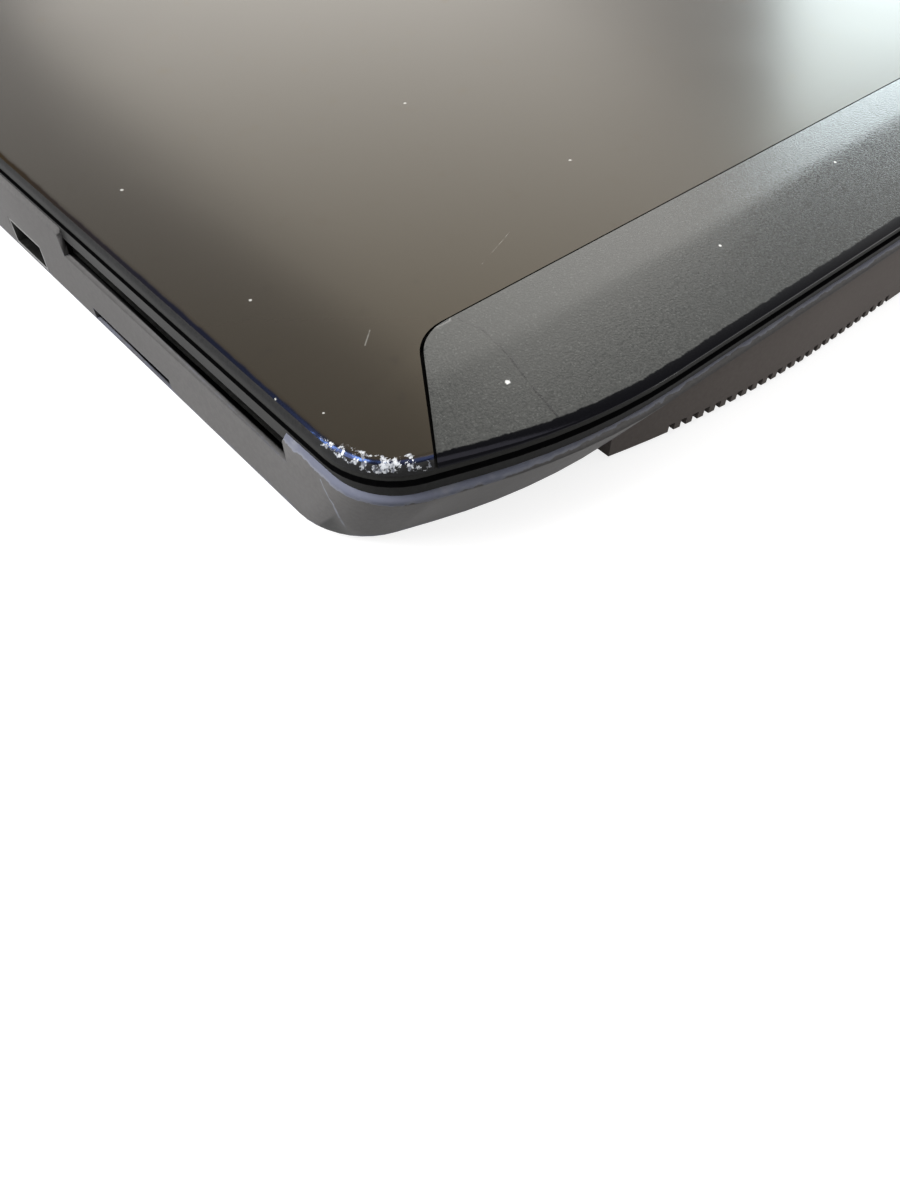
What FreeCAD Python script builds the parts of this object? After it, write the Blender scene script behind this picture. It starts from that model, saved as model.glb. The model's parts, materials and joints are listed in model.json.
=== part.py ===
import FreeCAD, Part
import math
import os

# Closed laptop of the 14-inch class. +X is the user's right, +Y runs back to the hinge, +Z is up.
# The origin is on the table under the middle of the body. Lengths are in millimetres.
doc = FreeCAD.newDocument("laptop")
sheet = doc.addObject("Spreadsheet::Sheet", "Sizes")

driving = {
    # body
    "width": 339, "depth": 237, "footProud": 1.2, "baseHeight": 18.6, "lidGap": 0.5, "lidThick": 4.1,
    # outline: front corners that sweep back, square rear corners
    "cornerRadius": 12, "rearRadius": 5, "sweepAngle": 19.5, "sweepRadius": 96, "sweepStart": 47,
    # lid
    "bezelRim": 2.2, "bezelInset": 0.2, "bezelThick": 1, "bezelWall": 1.6,
    "lidWall": 1.4, "lidSkin": 1, "lidRoll": 1.5,
    "stripDepth": 27.7, "stripFoot": 9.7, "stripRise": 8, "stripLean": 14, "stripCorner": 9, "stripGap": 0.25,
    "stripEnd": 0.3,
    # display: borders of the window from the sides, the front and the hinge line
    "viewSide": 14.75, "viewFront": 33.35, "viewRear": 25.75, "panelEdge": 5.4, "panelThick": 2,
    "cameraWidth": 28, "cameraDepth": 7, "cameraThick": 1.3, "windowRadius": 3, "cameraSetback": 9,
    "antennaLength": 50, "antennaDepth": 9, "antennaThick": 0.6, "antennaOffset": 60,
    "bumperRadius": 3, "bumperThick": 0.4, "bumperInset": 9,
    "cableWidth": 12, "cableThick": 0.4, "cableOffset": 60,
    # hinge: the knuckles start from the sides of the body
    "barrelRadius": 3.4, "barrelClear": 0.6, "shaftRadius": 1.6, "shaftClear": 0.05, "jointGap": 0.5,
    "knuckleStart": 74.5, "knuckleLength": 22, "barrelEnd": 12,
    "collarRadius": 2.2, "collarLength": 6, "collarClear": 0.15, "shaftTail": 3,
    "armLength": 40, "armDepth": 12, "armThick": 1,
    # base shells
    "rimHeight": 2.2, "rimInset": 1.3, "rimWall": 1.6, "deckSkin": 1.5, "browDrop": 1.8, "browThick": 0.8,
    "coverInset": 0.4, "coverWall": 1.8, "coverFloor": 1.5, "lipHeight": 1, "lipSet": 0.9,
    "undercut": 8.8, "footCorner": 14, "footSet": 0.5, "edgeSet": 0.6, "edgeRise": 0.8,
    "ledgeThick": 2.2, "ledgeLap": 3,
    "chinStart": 45.8, "chinRun": 50, "chinStep": 6, "chinInset": 1.9, "chinReach": 13, "chinRise": 14.1,
    "ribPitch": 2.5, "ribWidth": 1.2, "ribDepth": 0.8, "ribHeight": 4.5, "ribStart": 58, "ribRun": 60,
    # keyboard: its front is measured from the rear edge of the deck
    "keyPitch": 19.05, "keyGap": 2.65, "keyHoleGap": 0.35, "keyHeight": 2.2, "keyTravel": 1.6, "keyDrop": 0.1,
    "functionPitch": 11, "frameDrop": 0.4, "frameThick": 1.4, "frameMargin": 2, "frameClear": 0.2,
    "keyboardFront": 131.1, "trayThick": 0.8, "trayWall": 1, "trayFlange": 3, "trayLip": 0.8, "trayRoom": 0.5,
    # touchpad and buttons: the pad's front is measured from the middle of the palm rest
    "padWidth": 92, "padDepth": 50, "padFront": 17.25, "padDrop": 0.2, "padFlange": 3, "padPlate": 1,
    "padClear": 0.15,
    "buttonDepth": 11, "buttonGap": 1.4, "buttonThick": 1.3, "buttonClear": 0.3,
    "powerWidth": 16, "powerDepth": 5, "powerOffset": 135, "powerBack": 13,
    "lightWidth": 3, "lightDepth": 1.2, "lightPitch": 7, "lightOffset": 108,
    # openings in the sides, measured from the front, and the lock from the rear
    "cardSlotFront": 30, "cardSlotLength": 66.6, "cardSlotHeight": 3.3, "cardCageDepth": 52, "cageWall": 0.5,
    "sdSlotFront": 66, "sdSlotLength": 26, "sdSlotHeight": 2.2, "sdCageDepth": 29, "sdDrop": 1,
    "usbWidth": 13.1, "usbHeight": 5.2, "usbDepth": 14, "usbTongue": 1.8, "usbFront": 110,
    "usbRightFront": 60, "usbPitch": 22, "portClear": 0.1,
    "lanWidth": 15.5, "lanHeight": 9, "lanDepth": 17, "lanWall": 1.4, "lanFront": 130,
    "audioRadius": 3.2, "audioBore": 1.8, "audioDepth": 12, "audioFront": 40,
    "videoWidth": 17, "videoHeight": 6, "videoDepth": 12, "videoOffset": 20,
    "inletRadius": 4.2, "inletBore": 2.8, "inletPin": 0.6, "inletDepth": 13, "inletOffset": 130,
    "lockWidth": 7, "lockHeight": 3, "lockFront": 32,
    "ventSlot": 2, "ventPitch": 4, "ventHeight": 5,
    # inside the base: battery and drive lie behind the speakers, the fan off the left and rear sides, and
    # the board between battery, fan and rear
    "boardLeft": 6, "boardRight": 80, "boardFront": 10, "boardRear": 17,
    "boardThick": 1.2, "boardRise": 2.3,
    "bossRadius": 2.2, "bossInset": 5, "screwRadius": 1.1, "screwHead": 2.2, "screwHeadThick": 0.9,
    "screwClear": 0.1,
    "chipWidth": 32, "chipDepth": 26, "chipThick": 1.4, "chipX": 30, "chipY": 49.5,
    "spreaderWidth": 46, "spreaderDepth": 40, "spreaderThick": 1.6, "pipeWidth": 8, "pipeThick": 2.2,
    "fanSide": 60, "fanHeight": 7.4, "fanX": 49.5, "fanY": 58.5, "fanWall": 1, "fanRoom": 27, "fanEye": 18,
    "fanHub": 9, "fanPin": 1, "fanTip": 1.2, "bladeThick": 1, "fanGap": 0.7,
    "finDepth": 14, "finThick": 0.6, "finPitch": 2.9, "finPlate": 0.8,
    "ramWidth": 67.6, "ramDepth": 30, "ramThick": 3.8, "ramX": 4, "ramY": 3.5,
    "wifiWidth": 22, "wifiDepth": 30, "wifiThick": 1.8, "wifiX": 44, "wifiY": 4,
    "cellRadius": 10, "cellThick": 3.2, "cellX": 20, "cellY": 15.5,
    "driveWidth": 69.85, "driveDepth": 100.4, "driveThick": 7, "driveFront": 1.2,
    "packWidth": 184, "packDepth": 92, "packThick": 7, "packFront": 1.2,
    "speakerWidth": 44, "speakerDepth": 12, "speakerThick": 7, "speakerOffset": 54,
    # feet and fasteners underneath
    "footLength": 34, "footWidth": 9, "footInsetX": 22, "footInsetFront": 20, "footInsetRear": 12,
    "coverHead": 2.6, "coverHeadThick": 1, "coverShank": 1.2, "coverShankLength": 2.5, "coverScrewInset": 9,
    "coverScrewSide": 27,
}


class Size:
    # A length with its number and its expression in the sheet, so that arithmetic keeps both
    def __init__(self, value, words):
        self.value = value
        self.words = words

    def __float__(self):
        return self.value

    def __add__(self, other):
        return Size(self.value + float(other), f"({self.words} + {words(other)})")

    def __radd__(self, other):
        return Size(float(other) + self.value, f"({words(other)} + {self.words})")

    def __sub__(self, other):
        return Size(self.value - float(other), f"({self.words} - {words(other)})")

    def __rsub__(self, other):
        return Size(float(other) - self.value, f"({words(other)} - {self.words})")

    def __mul__(self, other):
        return Size(self.value * float(other), f"({self.words} * {words(other)})")

    def __rmul__(self, other):
        return self * other

    def __truediv__(self, other):
        return Size(self.value / float(other), f"({self.words} / {words(other)})")

    def __neg__(self):
        return self * -1


def words(value):
    return value.words if isinstance(value, Size) else repr(float(value))


class Sheet:
    # The driving dimensions by name
    pass


for row, (alias, value) in enumerate(driving.items(), start=1):
    sheet.set(f"A{row}", alias)
    sheet.set(f"B{row}", str(value))
    sheet.setAlias(f"B{row}", alias)
doc.recompute()
s = Sheet()
for alias in driving:
    setattr(s, alias, Size(float(sheet.get(alias)), f"Sizes.{alias}"))

# Levels and lines that several pieces share
half = s.width / 2
yFront = -(s.depth / 2)
yBack = s.depth / 2
zCover = s.footProud
zFloor = zCover + s.coverFloor
zDeck = zCover + s.baseHeight
zPart = zDeck - s.rimHeight
zSkin = zDeck - s.deckSkin
zLid = zDeck + s.lidGap
zSplit = zLid + s.bezelRim
zLidTop = zLid + s.lidThick
zLidSkin = zLidTop - s.lidSkin
zBezel = zLid + s.bezelThick
yHinge = yBack - s.barrelRadius
zHinge = zLidTop - s.barrelRadius
yDeckRear = yHinge - s.barrelRadius - s.barrelClear
yBezelRear = yHinge - s.barrelRadius - s.jointGap
xWall = half - s.coverInset
xInner = xWall - s.coverWall
zBoard = zFloor + s.boardRise
zBoardTop = zBoard + s.boardThick
zRear = zHinge - s.barrelRadius - s.barrelClear
fan_x = -(half - s.fanX)
fan_y = yBack - s.fanY
board_left = fan_x + s.fanSide / 2 + s.boardLeft
speaker_front = yFront + s.undercut + s.coverWall * 2
speaker_rear = speaker_front + s.speakerDepth
pack_rear = speaker_rear + s.packFront + s.packDepth
board_front = pack_rear + s.boardFront
board_rear = yBack - s.boardRear

past = 1  # how far a cutting tool runs past the face that it opens

nodes = []
turns = {
    "x": FreeCAD.Rotation(FreeCAD.Vector(0, 1, 0), 90),
    "y": FreeCAD.Rotation(FreeCAD.Vector(1, 0, 0), -90),
    "z": FreeCAD.Rotation(),
}


def node(obj):
    nodes.append(obj)
    return obj


def bind(obj, **values):
    for name, value in values.items():
        obj.setExpression(name, words(value))


def place(obj, at):
    for axis, value in zip("xyz", at):
        obj.setExpression(f"Placement.Base.{axis}", words(value))
    return obj


def box(name, size, at):
    obj = doc.addObject("Part::Box", name)
    bind(obj, Length=size[0], Width=size[1], Height=size[2])
    return place(obj, at)


def span(name, low, high):
    # A box between two corners
    return box(name, [b - a for a, b in zip(low, high)], low)


def cylinder(name, radius, length, at, axis="z"):
    obj = doc.addObject("Part::Cylinder", name)
    obj.Placement = FreeCAD.Placement(FreeCAD.Vector(), turns[axis])
    bind(obj, Radius=radius, Height=length)
    return place(obj, at)


def group(name, members):
    obj = doc.addObject("Part::Compound", name)
    obj.Links = list(members)
    return obj


def fuse(name, members):
    obj = doc.addObject("Part::MultiFuse", name)
    obj.Shapes = list(members)
    return obj


def cut(name, base, tools):
    # The tools lie clear of each other
    obj = doc.addObject("Part::Cut", name)
    obj.Base = base
    obj.Tool = tools[0] if len(tools) == 1 else group(name + "_tools", tools)
    return obj


def sides():
    # The left side comes first: name and sign of X
    return (("left", -1), ("right", 1))


def from_side(sign, near, far):
    # The lower and upper X of a stretch that starts near the middle
    return (near, far) if sign > 0 else (-far, -near)


def point(x, y):
    return FreeCAD.Vector(float(x), float(y), 0)


def line(a, b):
    return Part.LineSegment(a, b)


def arc(centre, radius, start, end):
    middle = (start + end) / 2
    at = [centre + radius * point(math.cos(a), math.sin(a)) for a in (start, middle, end)]
    return Part.Arc(*at)


def outline(inset, front=0, rear=yBack, corner=s.cornerRadius, rear_corner=s.rearRadius):
    # Plan of the body, run counter-clockwise: the straight front, the sweep to each front corner,
    # the corner, the straight side and the small rear corner
    d = float(inset)
    y_line = float(yFront + front)
    x_side = float(half) - d
    x_sweep = float(half - s.sweepStart)
    sweep = float(s.sweepRadius)
    lean = math.radians(float(s.sweepAngle))
    r = float(corner)
    r_rear = float(rear_corner)
    y_rear = float(rear) - d
    toward = point(math.sin(lean), -math.cos(lean))
    sweep_centre = point(x_sweep, y_line + sweep)
    sweep_end = sweep_centre + sweep * toward
    x_corner = float(half) - r
    reach = (r + math.sin(lean) * (x_corner - sweep_end.x)) / math.cos(lean)
    corner_centre = point(x_corner, sweep_end.y + reach)
    rear_centre = point(x_side - r_rear, y_rear - r_rear)
    quarter = math.pi / 2
    right = [
        arc(sweep_centre, sweep - d, -quarter, -quarter + lean),
        line(sweep_centre + (sweep - d) * toward, corner_centre + (r - d) * toward),
        arc(corner_centre, r - d, -quarter + lean, 0),
        line(point(x_side, corner_centre.y), point(x_side, rear_centre.y)),
        arc(rear_centre, r_rear, 0, quarter),
    ]
    return mirrored(right, y_line + d, y_rear)


def mirrored(right, y_low, y_high):
    # Closes a right half with its mirror image, the front line and the rear line
    def flip(p):
        return point(-p.x, p.y)

    left = []
    for edge in reversed(right):
        if isinstance(edge, Part.LineSegment):
            left.append(line(flip(edge.EndPoint), flip(edge.StartPoint)))
        else:
            middle = edge.value((edge.FirstParameter + edge.LastParameter) / 2)
            left.append(Part.Arc(flip(edge.EndPoint), flip(middle), flip(edge.StartPoint)))
    first = right[0].StartPoint
    last = right[-1].EndPoint
    front = line(point(-first.x, y_low), point(first.x, y_low))
    back = line(point(last.x, y_high), point(-last.x, y_high))
    return [front] + right + [back] + left


def strip_plan(gap, end=0):
    # Plan of the antenna strip with its slanted ends and rounded inner corners, open to the front
    d = float(gap)
    x_foot = float(half - s.stripFoot) + d + float(end)
    y_low = float(yFront) - past
    y_inner = float(yFront + s.stripDepth) + d
    y_foot = float(yFront + s.stripRise)
    x_top = x_foot - float(s.stripLean)
    lean = math.atan2(x_foot - x_top, y_inner - y_foot)
    r = float(s.stripCorner) - d
    tangent = r * math.tan((math.pi / 2 - lean) / 2)
    centre = point(x_top - tangent, y_inner - r)
    start = centre + r * point(math.cos(lean), math.sin(lean))
    x_low = x_foot + (y_foot - y_low) * math.tan(lean)
    right = [
        line(point(x_low, y_low), start),
        arc(centre, r, lean, math.pi / 2),
    ]
    return mirrored(right, y_low, y_inner)


def chin_plan():
    # Plan of the chin: straight in the middle, drawn back towards both ends
    run = float(s.chinRun)
    step = float(s.chinStep)
    x_end = float(half - s.chinStart)
    x_straight = x_end - run
    y_low = float(yFront + s.chinInset)
    y_back = float(yFront + s.chinReach)
    radius = (run * run + step * step) / (2 * step)
    centre = point(x_straight, y_low + radius)
    turn = math.asin(run / radius)
    right = [
        arc(centre, radius, -math.pi / 2, -math.pi / 2 + turn),
        line(point(x_end, y_low + step), point(x_end, y_back)),
    ]
    return mirrored(right, y_low, y_back)


def chin_front(x):
    # Y of the chin's front face at a distance from the middle
    run = float(s.chinRun)
    step = float(s.chinStep)
    radius = (run * run + step * step) / (2 * step)
    past = max(0.0, abs(x) - float(half - s.chinStart) + run)
    return float(yFront + s.chinInset) + radius - math.sqrt(radius * radius - past * past)


def new_body(name, z):
    body = doc.addObject("PartDesign::Body", name)
    bind(body, **{"Placement.Base.z": z})
    return body


def sketch(body, name, geometry, height=0):
    obj = body.newObject("Sketcher::SketchObject", name)
    plane = [f for f in body.Origin.OriginFeatures if f.Role == "XY_Plane"][0]
    obj.AttachmentSupport = [(plane, "")]
    obj.MapMode = "FlatFace"
    bind(obj, **{"AttachmentOffset.Base.z": height})
    obj.addGeometry(geometry, False)
    return obj


def pad(body, profile, length):
    feature = body.newObject("PartDesign::Pad", profile.Name + "_pad")
    feature.Profile = profile
    bind(feature, Length=length)
    doc.recompute()
    return feature


def pocket(body, profile, depth):
    # Cuts upward from the sketch, and has to take some material away
    before = body.Shape.Volume
    feature = body.newObject("PartDesign::Pocket", profile.Name + "_pocket")
    feature.Profile = profile
    feature.Reversed = True
    bind(feature, Length=depth)
    doc.recompute()
    if body.Shape.Volume > before - 1e-6:
        raise RuntimeError(f"{feature.Name} cuts nothing")
    return feature


def loft(body, name, kind, sections):
    feature = body.newObject(f"PartDesign::{kind}", name)
    feature.Profile = sections[0]
    feature.Sections = sections[1:]
    feature.Ruled = True
    doc.recompute()
    return feature


def round_edges(body, base, radius, wanted):
    feature = body.newObject("PartDesign::Fillet", base.Name + "_round")
    names = [f"Edge{i}" for i, e in enumerate(base.Shape.Edges, start=1) if wanted(e)]
    feature.Base = (base, names)
    bind(feature, Radius=radius)
    doc.recompute()
    return feature


def at_height(z, before_y):
    # Picks the edges at one height that lie in front of a line
    def wanted(edge):
        ends = [v.Point for v in edge.Vertexes]
        level = all(abs(p.z - float(z)) < 1e-4 for p in ends)
        return level and any(p.y < float(before_y) - 1e-3 for p in ends)
    return wanted


def rectangle(low_x, high_x, low_y, high_y):
    corners = [point(low_x, low_y), point(high_x, low_y), point(high_x, high_y), point(low_x, high_y)]
    return [line(a, b) for a, b in zip(corners, corners[1:] + corners[:1])]


# Display lid

knuckle_start = half - s.knuckleStart
knuckle_end = knuckle_start + s.knuckleLength
edge_height = zLidTop - zSplit


def lid_cover():
    body = new_body("lid_cover_shell", zSplit)
    plate = pad(body, sketch(body, "lid_plan", outline(0, rear=yHinge)), edge_height)
    round_edges(body, plate, s.lidRoll, at_height(edge_height, yHinge))
    inside = outline(s.lidWall, rear=yHinge + s.lidWall * 2)
    pocket(body, sketch(body, "lid_hollow", inside), edge_height - s.lidSkin)
    pocket(body, sketch(body, "lid_strip_seat", strip_plan(s.stripGap, s.stripEnd)), edge_height + s.lidSkin)
    notches = []
    for side, sign in sides():
        low, high = from_side(sign, knuckle_start - s.jointGap, knuckle_end + s.jointGap)
        front = yHinge - s.barrelRadius - s.jointGap
        notches.append(span(f"lid_notch_{side}", (low, front, zSplit - past), (high, yBack, zLidTop + past)))
    return node(cut("lid_cover", body, notches))


def antenna_cover():
    slab = new_body("strip_slab", zSplit)
    plate = pad(slab, sketch(slab, "strip_outline", outline(0)), edge_height)
    round_edges(slab, plate, s.lidRoll, at_height(edge_height, yHinge))
    inside = outline(s.lidWall)
    pocket(slab, sketch(slab, "strip_hollow", inside), edge_height - s.lidSkin)
    blank = new_body("strip_blank", zSplit)
    pad(blank, sketch(blank, "strip_plan", strip_plan(0)), edge_height)
    obj = doc.addObject("Part::Common", "antenna_cover")
    obj.Base = slab
    obj.Tool = blank
    return node(obj)


view_half = half - s.viewSide
view_front = yFront + s.viewFront
view_rear = yHinge - s.viewRear
panel_rear = view_rear + s.panelEdge
window_at = yFront + s.cameraSetback


def display_bezel():
    body = new_body("bezel_shell", zLid)
    pad(body, sketch(body, "bezel_plan", outline(s.bezelInset, rear=yBezelRear)), s.bezelRim)
    hollow = outline(s.bezelInset + s.bezelWall, rear=yBezelRear + s.bezelWall * 2)
    pocket(body, sketch(body, "bezel_hollow", hollow, s.bezelThick), s.bezelRim)
    view = rectangle(-view_half, view_half, view_front, view_rear)
    pocket(body, sketch(body, "bezel_view", view), s.bezelThick)
    eye = cylinder("bezel_eye", s.windowRadius, s.bezelThick, (0, window_at, zLid))
    return node(cut("display_bezel", body, [eye]))


def lid_inside():
    edge = view_half + s.panelEdge
    low = (-edge, view_front - s.panelEdge, zBezel)
    node(span("lcd_panel", low, (edge, panel_rear, zBezel + s.panelThick)))
    node(cylinder("webcam_window", s.windowRadius, s.bezelThick, (0, window_at, zLid)))
    board = (s.cameraWidth, s.cameraDepth, s.cameraThick)
    node(box("webcam_module", board, (-s.cameraWidth / 2, window_at - s.cameraDepth / 2, zBezel)))
    foils = []
    pads = []
    for side, sign in sides():
        low, high = from_side(sign, s.antennaOffset, s.antennaOffset + s.antennaLength)
        front = yFront + s.lidWall * 3
        corner = (low, front, zLidSkin - s.antennaThick)
        foils.append(span(f"antenna_{side}", corner, (high, front + s.antennaDepth, zLidSkin)))
        x = sign * (half - s.bumperInset)
        rows = (("front", yFront + s.bumperInset * 3), ("rear", yBezelRear - s.bumperInset))
        for end, y in rows:
            at = (x, y, zLid - s.bumperThick)
            pads.append(cylinder(f"bumper_{side}_{end}", s.bumperRadius, s.bumperThick, at))
    node(group("wifi_antennas", foils))
    node(group("lid_bumpers", pads))
    low = (s.cableOffset, panel_rear, zBezel)
    high = (s.cableOffset + s.cableWidth, yBezelRear - s.jointGap, zBezel + s.cableThick)
    node(span("display_cable", low, high))


def hinge_arm(side, sign):
    # Shaft, collar and the plate that lies on the bezel, with two screws
    start, tail = from_side(sign, knuckle_start - s.shaftTail, knuckle_end + s.jointGap + s.collarLength)
    shaft = cylinder(f"shaft_{side}", s.shaftRadius, tail - start, (start, yHinge, zHinge), "x")
    near, far = from_side(sign, knuckle_end + s.jointGap, knuckle_end + s.jointGap + s.collarLength)
    collar = cylinder(f"collar_{side}", s.collarRadius, far - near, (near, yHinge, zHinge), "x")
    top = zBezel + s.armThick
    front = yBezelRear - s.armDepth
    neck = span(f"neck_{side}", (near, front, zBezel), (far, yHinge, top))
    low, high = from_side(sign, knuckle_end + s.jointGap, knuckle_end + s.jointGap + s.armLength)
    plate = span(f"plate_{side}", (low, front, zBezel), (high, yBezelRear - s.jointGap, top))
    arm = fuse(f"arm_blank_{side}", [shaft, collar, neck, plate])
    holes = []
    screws = []
    for i in (1, 2):
        x = sign * (knuckle_end + s.armLength * i / 2 - s.bossInset)
        y = front + s.armDepth / 2
        radius = s.screwRadius + s.screwClear
        holes.append(cylinder(f"arm_hole_{side}_{i}", radius, s.armThick, (x, y, zBezel)))
        head = cylinder(f"arm_head_{side}_{i}", s.screwHead, s.screwHeadThick, (x, y, top))
        shank = cylinder(f"arm_shank_{side}_{i}", s.screwRadius, s.armThick, (x, y, zBezel))
        screws.append(fuse(f"arm_screw_{side}_{i}", [head, shank]))
    node(cut(f"hinge_arm_{side}", arm, holes))
    return screws


def hinge_barrel(name, low, high, bores):
    # A round cover on the hinge line, cut back where the lid's plate lies
    blank = cylinder(name + "_blank", s.barrelRadius, high - low, (low, yHinge, zHinge), "x")
    plate = span(name + "_plate", (low, yFront, zSplit), (high, yHinge, zLidTop + past))
    return cut(name, blank, [fuse(name + "_room", [plate] + bores)])


def hinges():
    inner = knuckle_start - s.jointGap
    bores = []
    caps = []
    screws = []
    for side, sign in sides():
        low, high = from_side(sign, knuckle_start - s.shaftTail - s.jointGap, knuckle_start)
        radius = s.shaftRadius + s.shaftClear
        bores.append(cylinder(f"cover_bore_{side}", radius, high - low, (low, yHinge, zHinge), "x"))
        near, far = from_side(sign, knuckle_end + s.jointGap, half - s.barrelEnd)
        room = s.collarLength + s.collarClear
        low, high = from_side(sign, knuckle_end + s.jointGap, knuckle_end + s.jointGap + room)
        radius = s.collarRadius + s.collarClear
        seat = cylinder(f"cap_seat_{side}", radius, high - low, (low, yHinge, zHinge), "x")
        bottom = zBezel - s.collarClear
        neck = span(f"cap_neck_{side}", (low, yFront, bottom), (high, yHinge, zLidTop))
        caps.append(hinge_barrel(f"hinge_cap_{side}", near, far, [seat, neck]))
        screws += hinge_arm(side, sign)
    node(hinge_barrel("hinge_cover", -inner, inner, bores))
    node(group("hinge_caps", caps))
    node(group("hinge_screws", screws))
    for side, sign in sides():
        low, high = from_side(sign, knuckle_start, knuckle_end)
        eye = cylinder(f"knuckle_{side}", s.barrelRadius, high - low, (low, yHinge, zHinge), "x")
        corner = (low, yHinge - s.barrelRadius, zRear)
        web = span(f"knuckle_web_{side}", corner, (high, yHinge + s.barrelRadius / 2, zHinge))
        radius = s.shaftRadius + s.shaftClear
        bore = cylinder(f"knuckle_bore_{side}", radius, high - low, (low, yHinge, zHinge), "x")
        node(cut(f"hinge_base_{side}", fuse(f"knuckle_blank_{side}", [eye, web]), [bore]))


# Base shells

key_columns = 15
keyboard_width = s.keyPitch * key_columns
keyboard_depth = s.keyPitch * 5 + s.functionPitch
frame_half = keyboard_width / 2 + s.frameMargin
frame_front = yDeckRear - s.keyboardFront
frame_rear = frame_front + keyboard_depth + s.frameMargin * 2
frame_top = zDeck - s.frameDrop
frame_bottom = frame_top - s.frameThick
pad_low = (yFront + frame_front) / 2 - s.padFront
pad_high = pad_low + s.padDepth
button_high = pad_low - s.buttonGap
button_low = button_high - s.buttonDepth
power_at = (-s.powerOffset, yDeckRear - s.powerBack)
lights_at = (-s.lightOffset, power_at[1])


slot_top = zPart - s.browDrop
slot_z = slot_top - s.cardSlotHeight
sd_z = zFloor - s.sdDrop + s.cageWall


def light_low(i):
    return lights_at[0] + s.lightPitch * i


def top_case():
    body = new_body("top_case_shell", zPart)
    pad(body, sketch(body, "deck_plan", outline(s.rimInset, rear=yDeckRear + s.rimInset)), s.rimHeight)
    hollow = outline(s.rimInset + s.rimWall, rear=yDeckRear + s.rimInset)
    pocket(body, sketch(body, "deck_hollow", hollow), s.rimHeight - s.deckSkin)
    below = zSkin - past
    above = zDeck + past
    gap = s.frameClear
    low = (-frame_half - gap, frame_front - gap, below)
    keys = span("deck_keys", low, (frame_half + gap, frame_rear + gap, above))
    gap = s.padClear
    x = s.padWidth / 2 + gap
    openings = [keys, span("deck_pad", (-x, pad_low - gap, below), (x, pad_high + gap, above))]
    gap = s.buttonClear
    for side, sign in sides():
        low, high = from_side(sign, s.buttonGap / 2 - gap, s.padWidth / 2 + gap)
        corner = (low, button_low - gap, below)
        openings.append(span(f"deck_button_{side}", corner, (high, button_high + gap, above)))
    low = (power_at[0] - gap, power_at[1] - gap, below)
    high = (power_at[0] + s.powerWidth + gap, power_at[1] + s.powerDepth + gap, above)
    openings.append(span("deck_power", low, high))
    for i in range(3):
        size = (s.lightWidth, s.lightDepth, above - below)
        openings.append(box(f"deck_light_{i}", size, (light_low(i), lights_at[1], below)))
    gap = s.portClear
    x = -half + s.rimInset
    y = yFront + s.cardSlotFront
    low = (x, y + gap, slot_top)
    brow = span("deck_brow", low, (x + s.browThick, y + s.cardSlotLength - gap, zPart))
    return node(cut("top_case", fuse("deck_blank", [body, brow]), openings))


def cover_outside(name):
    # Outer form of the lower case: upright sides, a front that slopes in below the shoulder
    body = new_body(name, zCover)
    height = zPart - zCover
    under = outline(s.coverInset + s.footSet + s.edgeSet, front=s.undercut, corner=s.footCorner)
    foot = outline(s.coverInset + s.footSet, front=s.undercut, corner=s.footCorner)
    shoulder = outline(s.coverInset)
    top = outline(s.coverInset + s.lipSet)
    sections = [
        sketch(body, name + "_under", under),
        sketch(body, name + "_foot", foot, s.edgeRise),
        sketch(body, name + "_shoulder", shoulder, height - s.lipHeight),
        sketch(body, name + "_top", top, height),
    ]
    loft(body, name + "_form", "AdditiveLoft", sections)
    return body


right_ports = [(s.usbRightFront + s.usbPitch * i) for i in range(2)]


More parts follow.
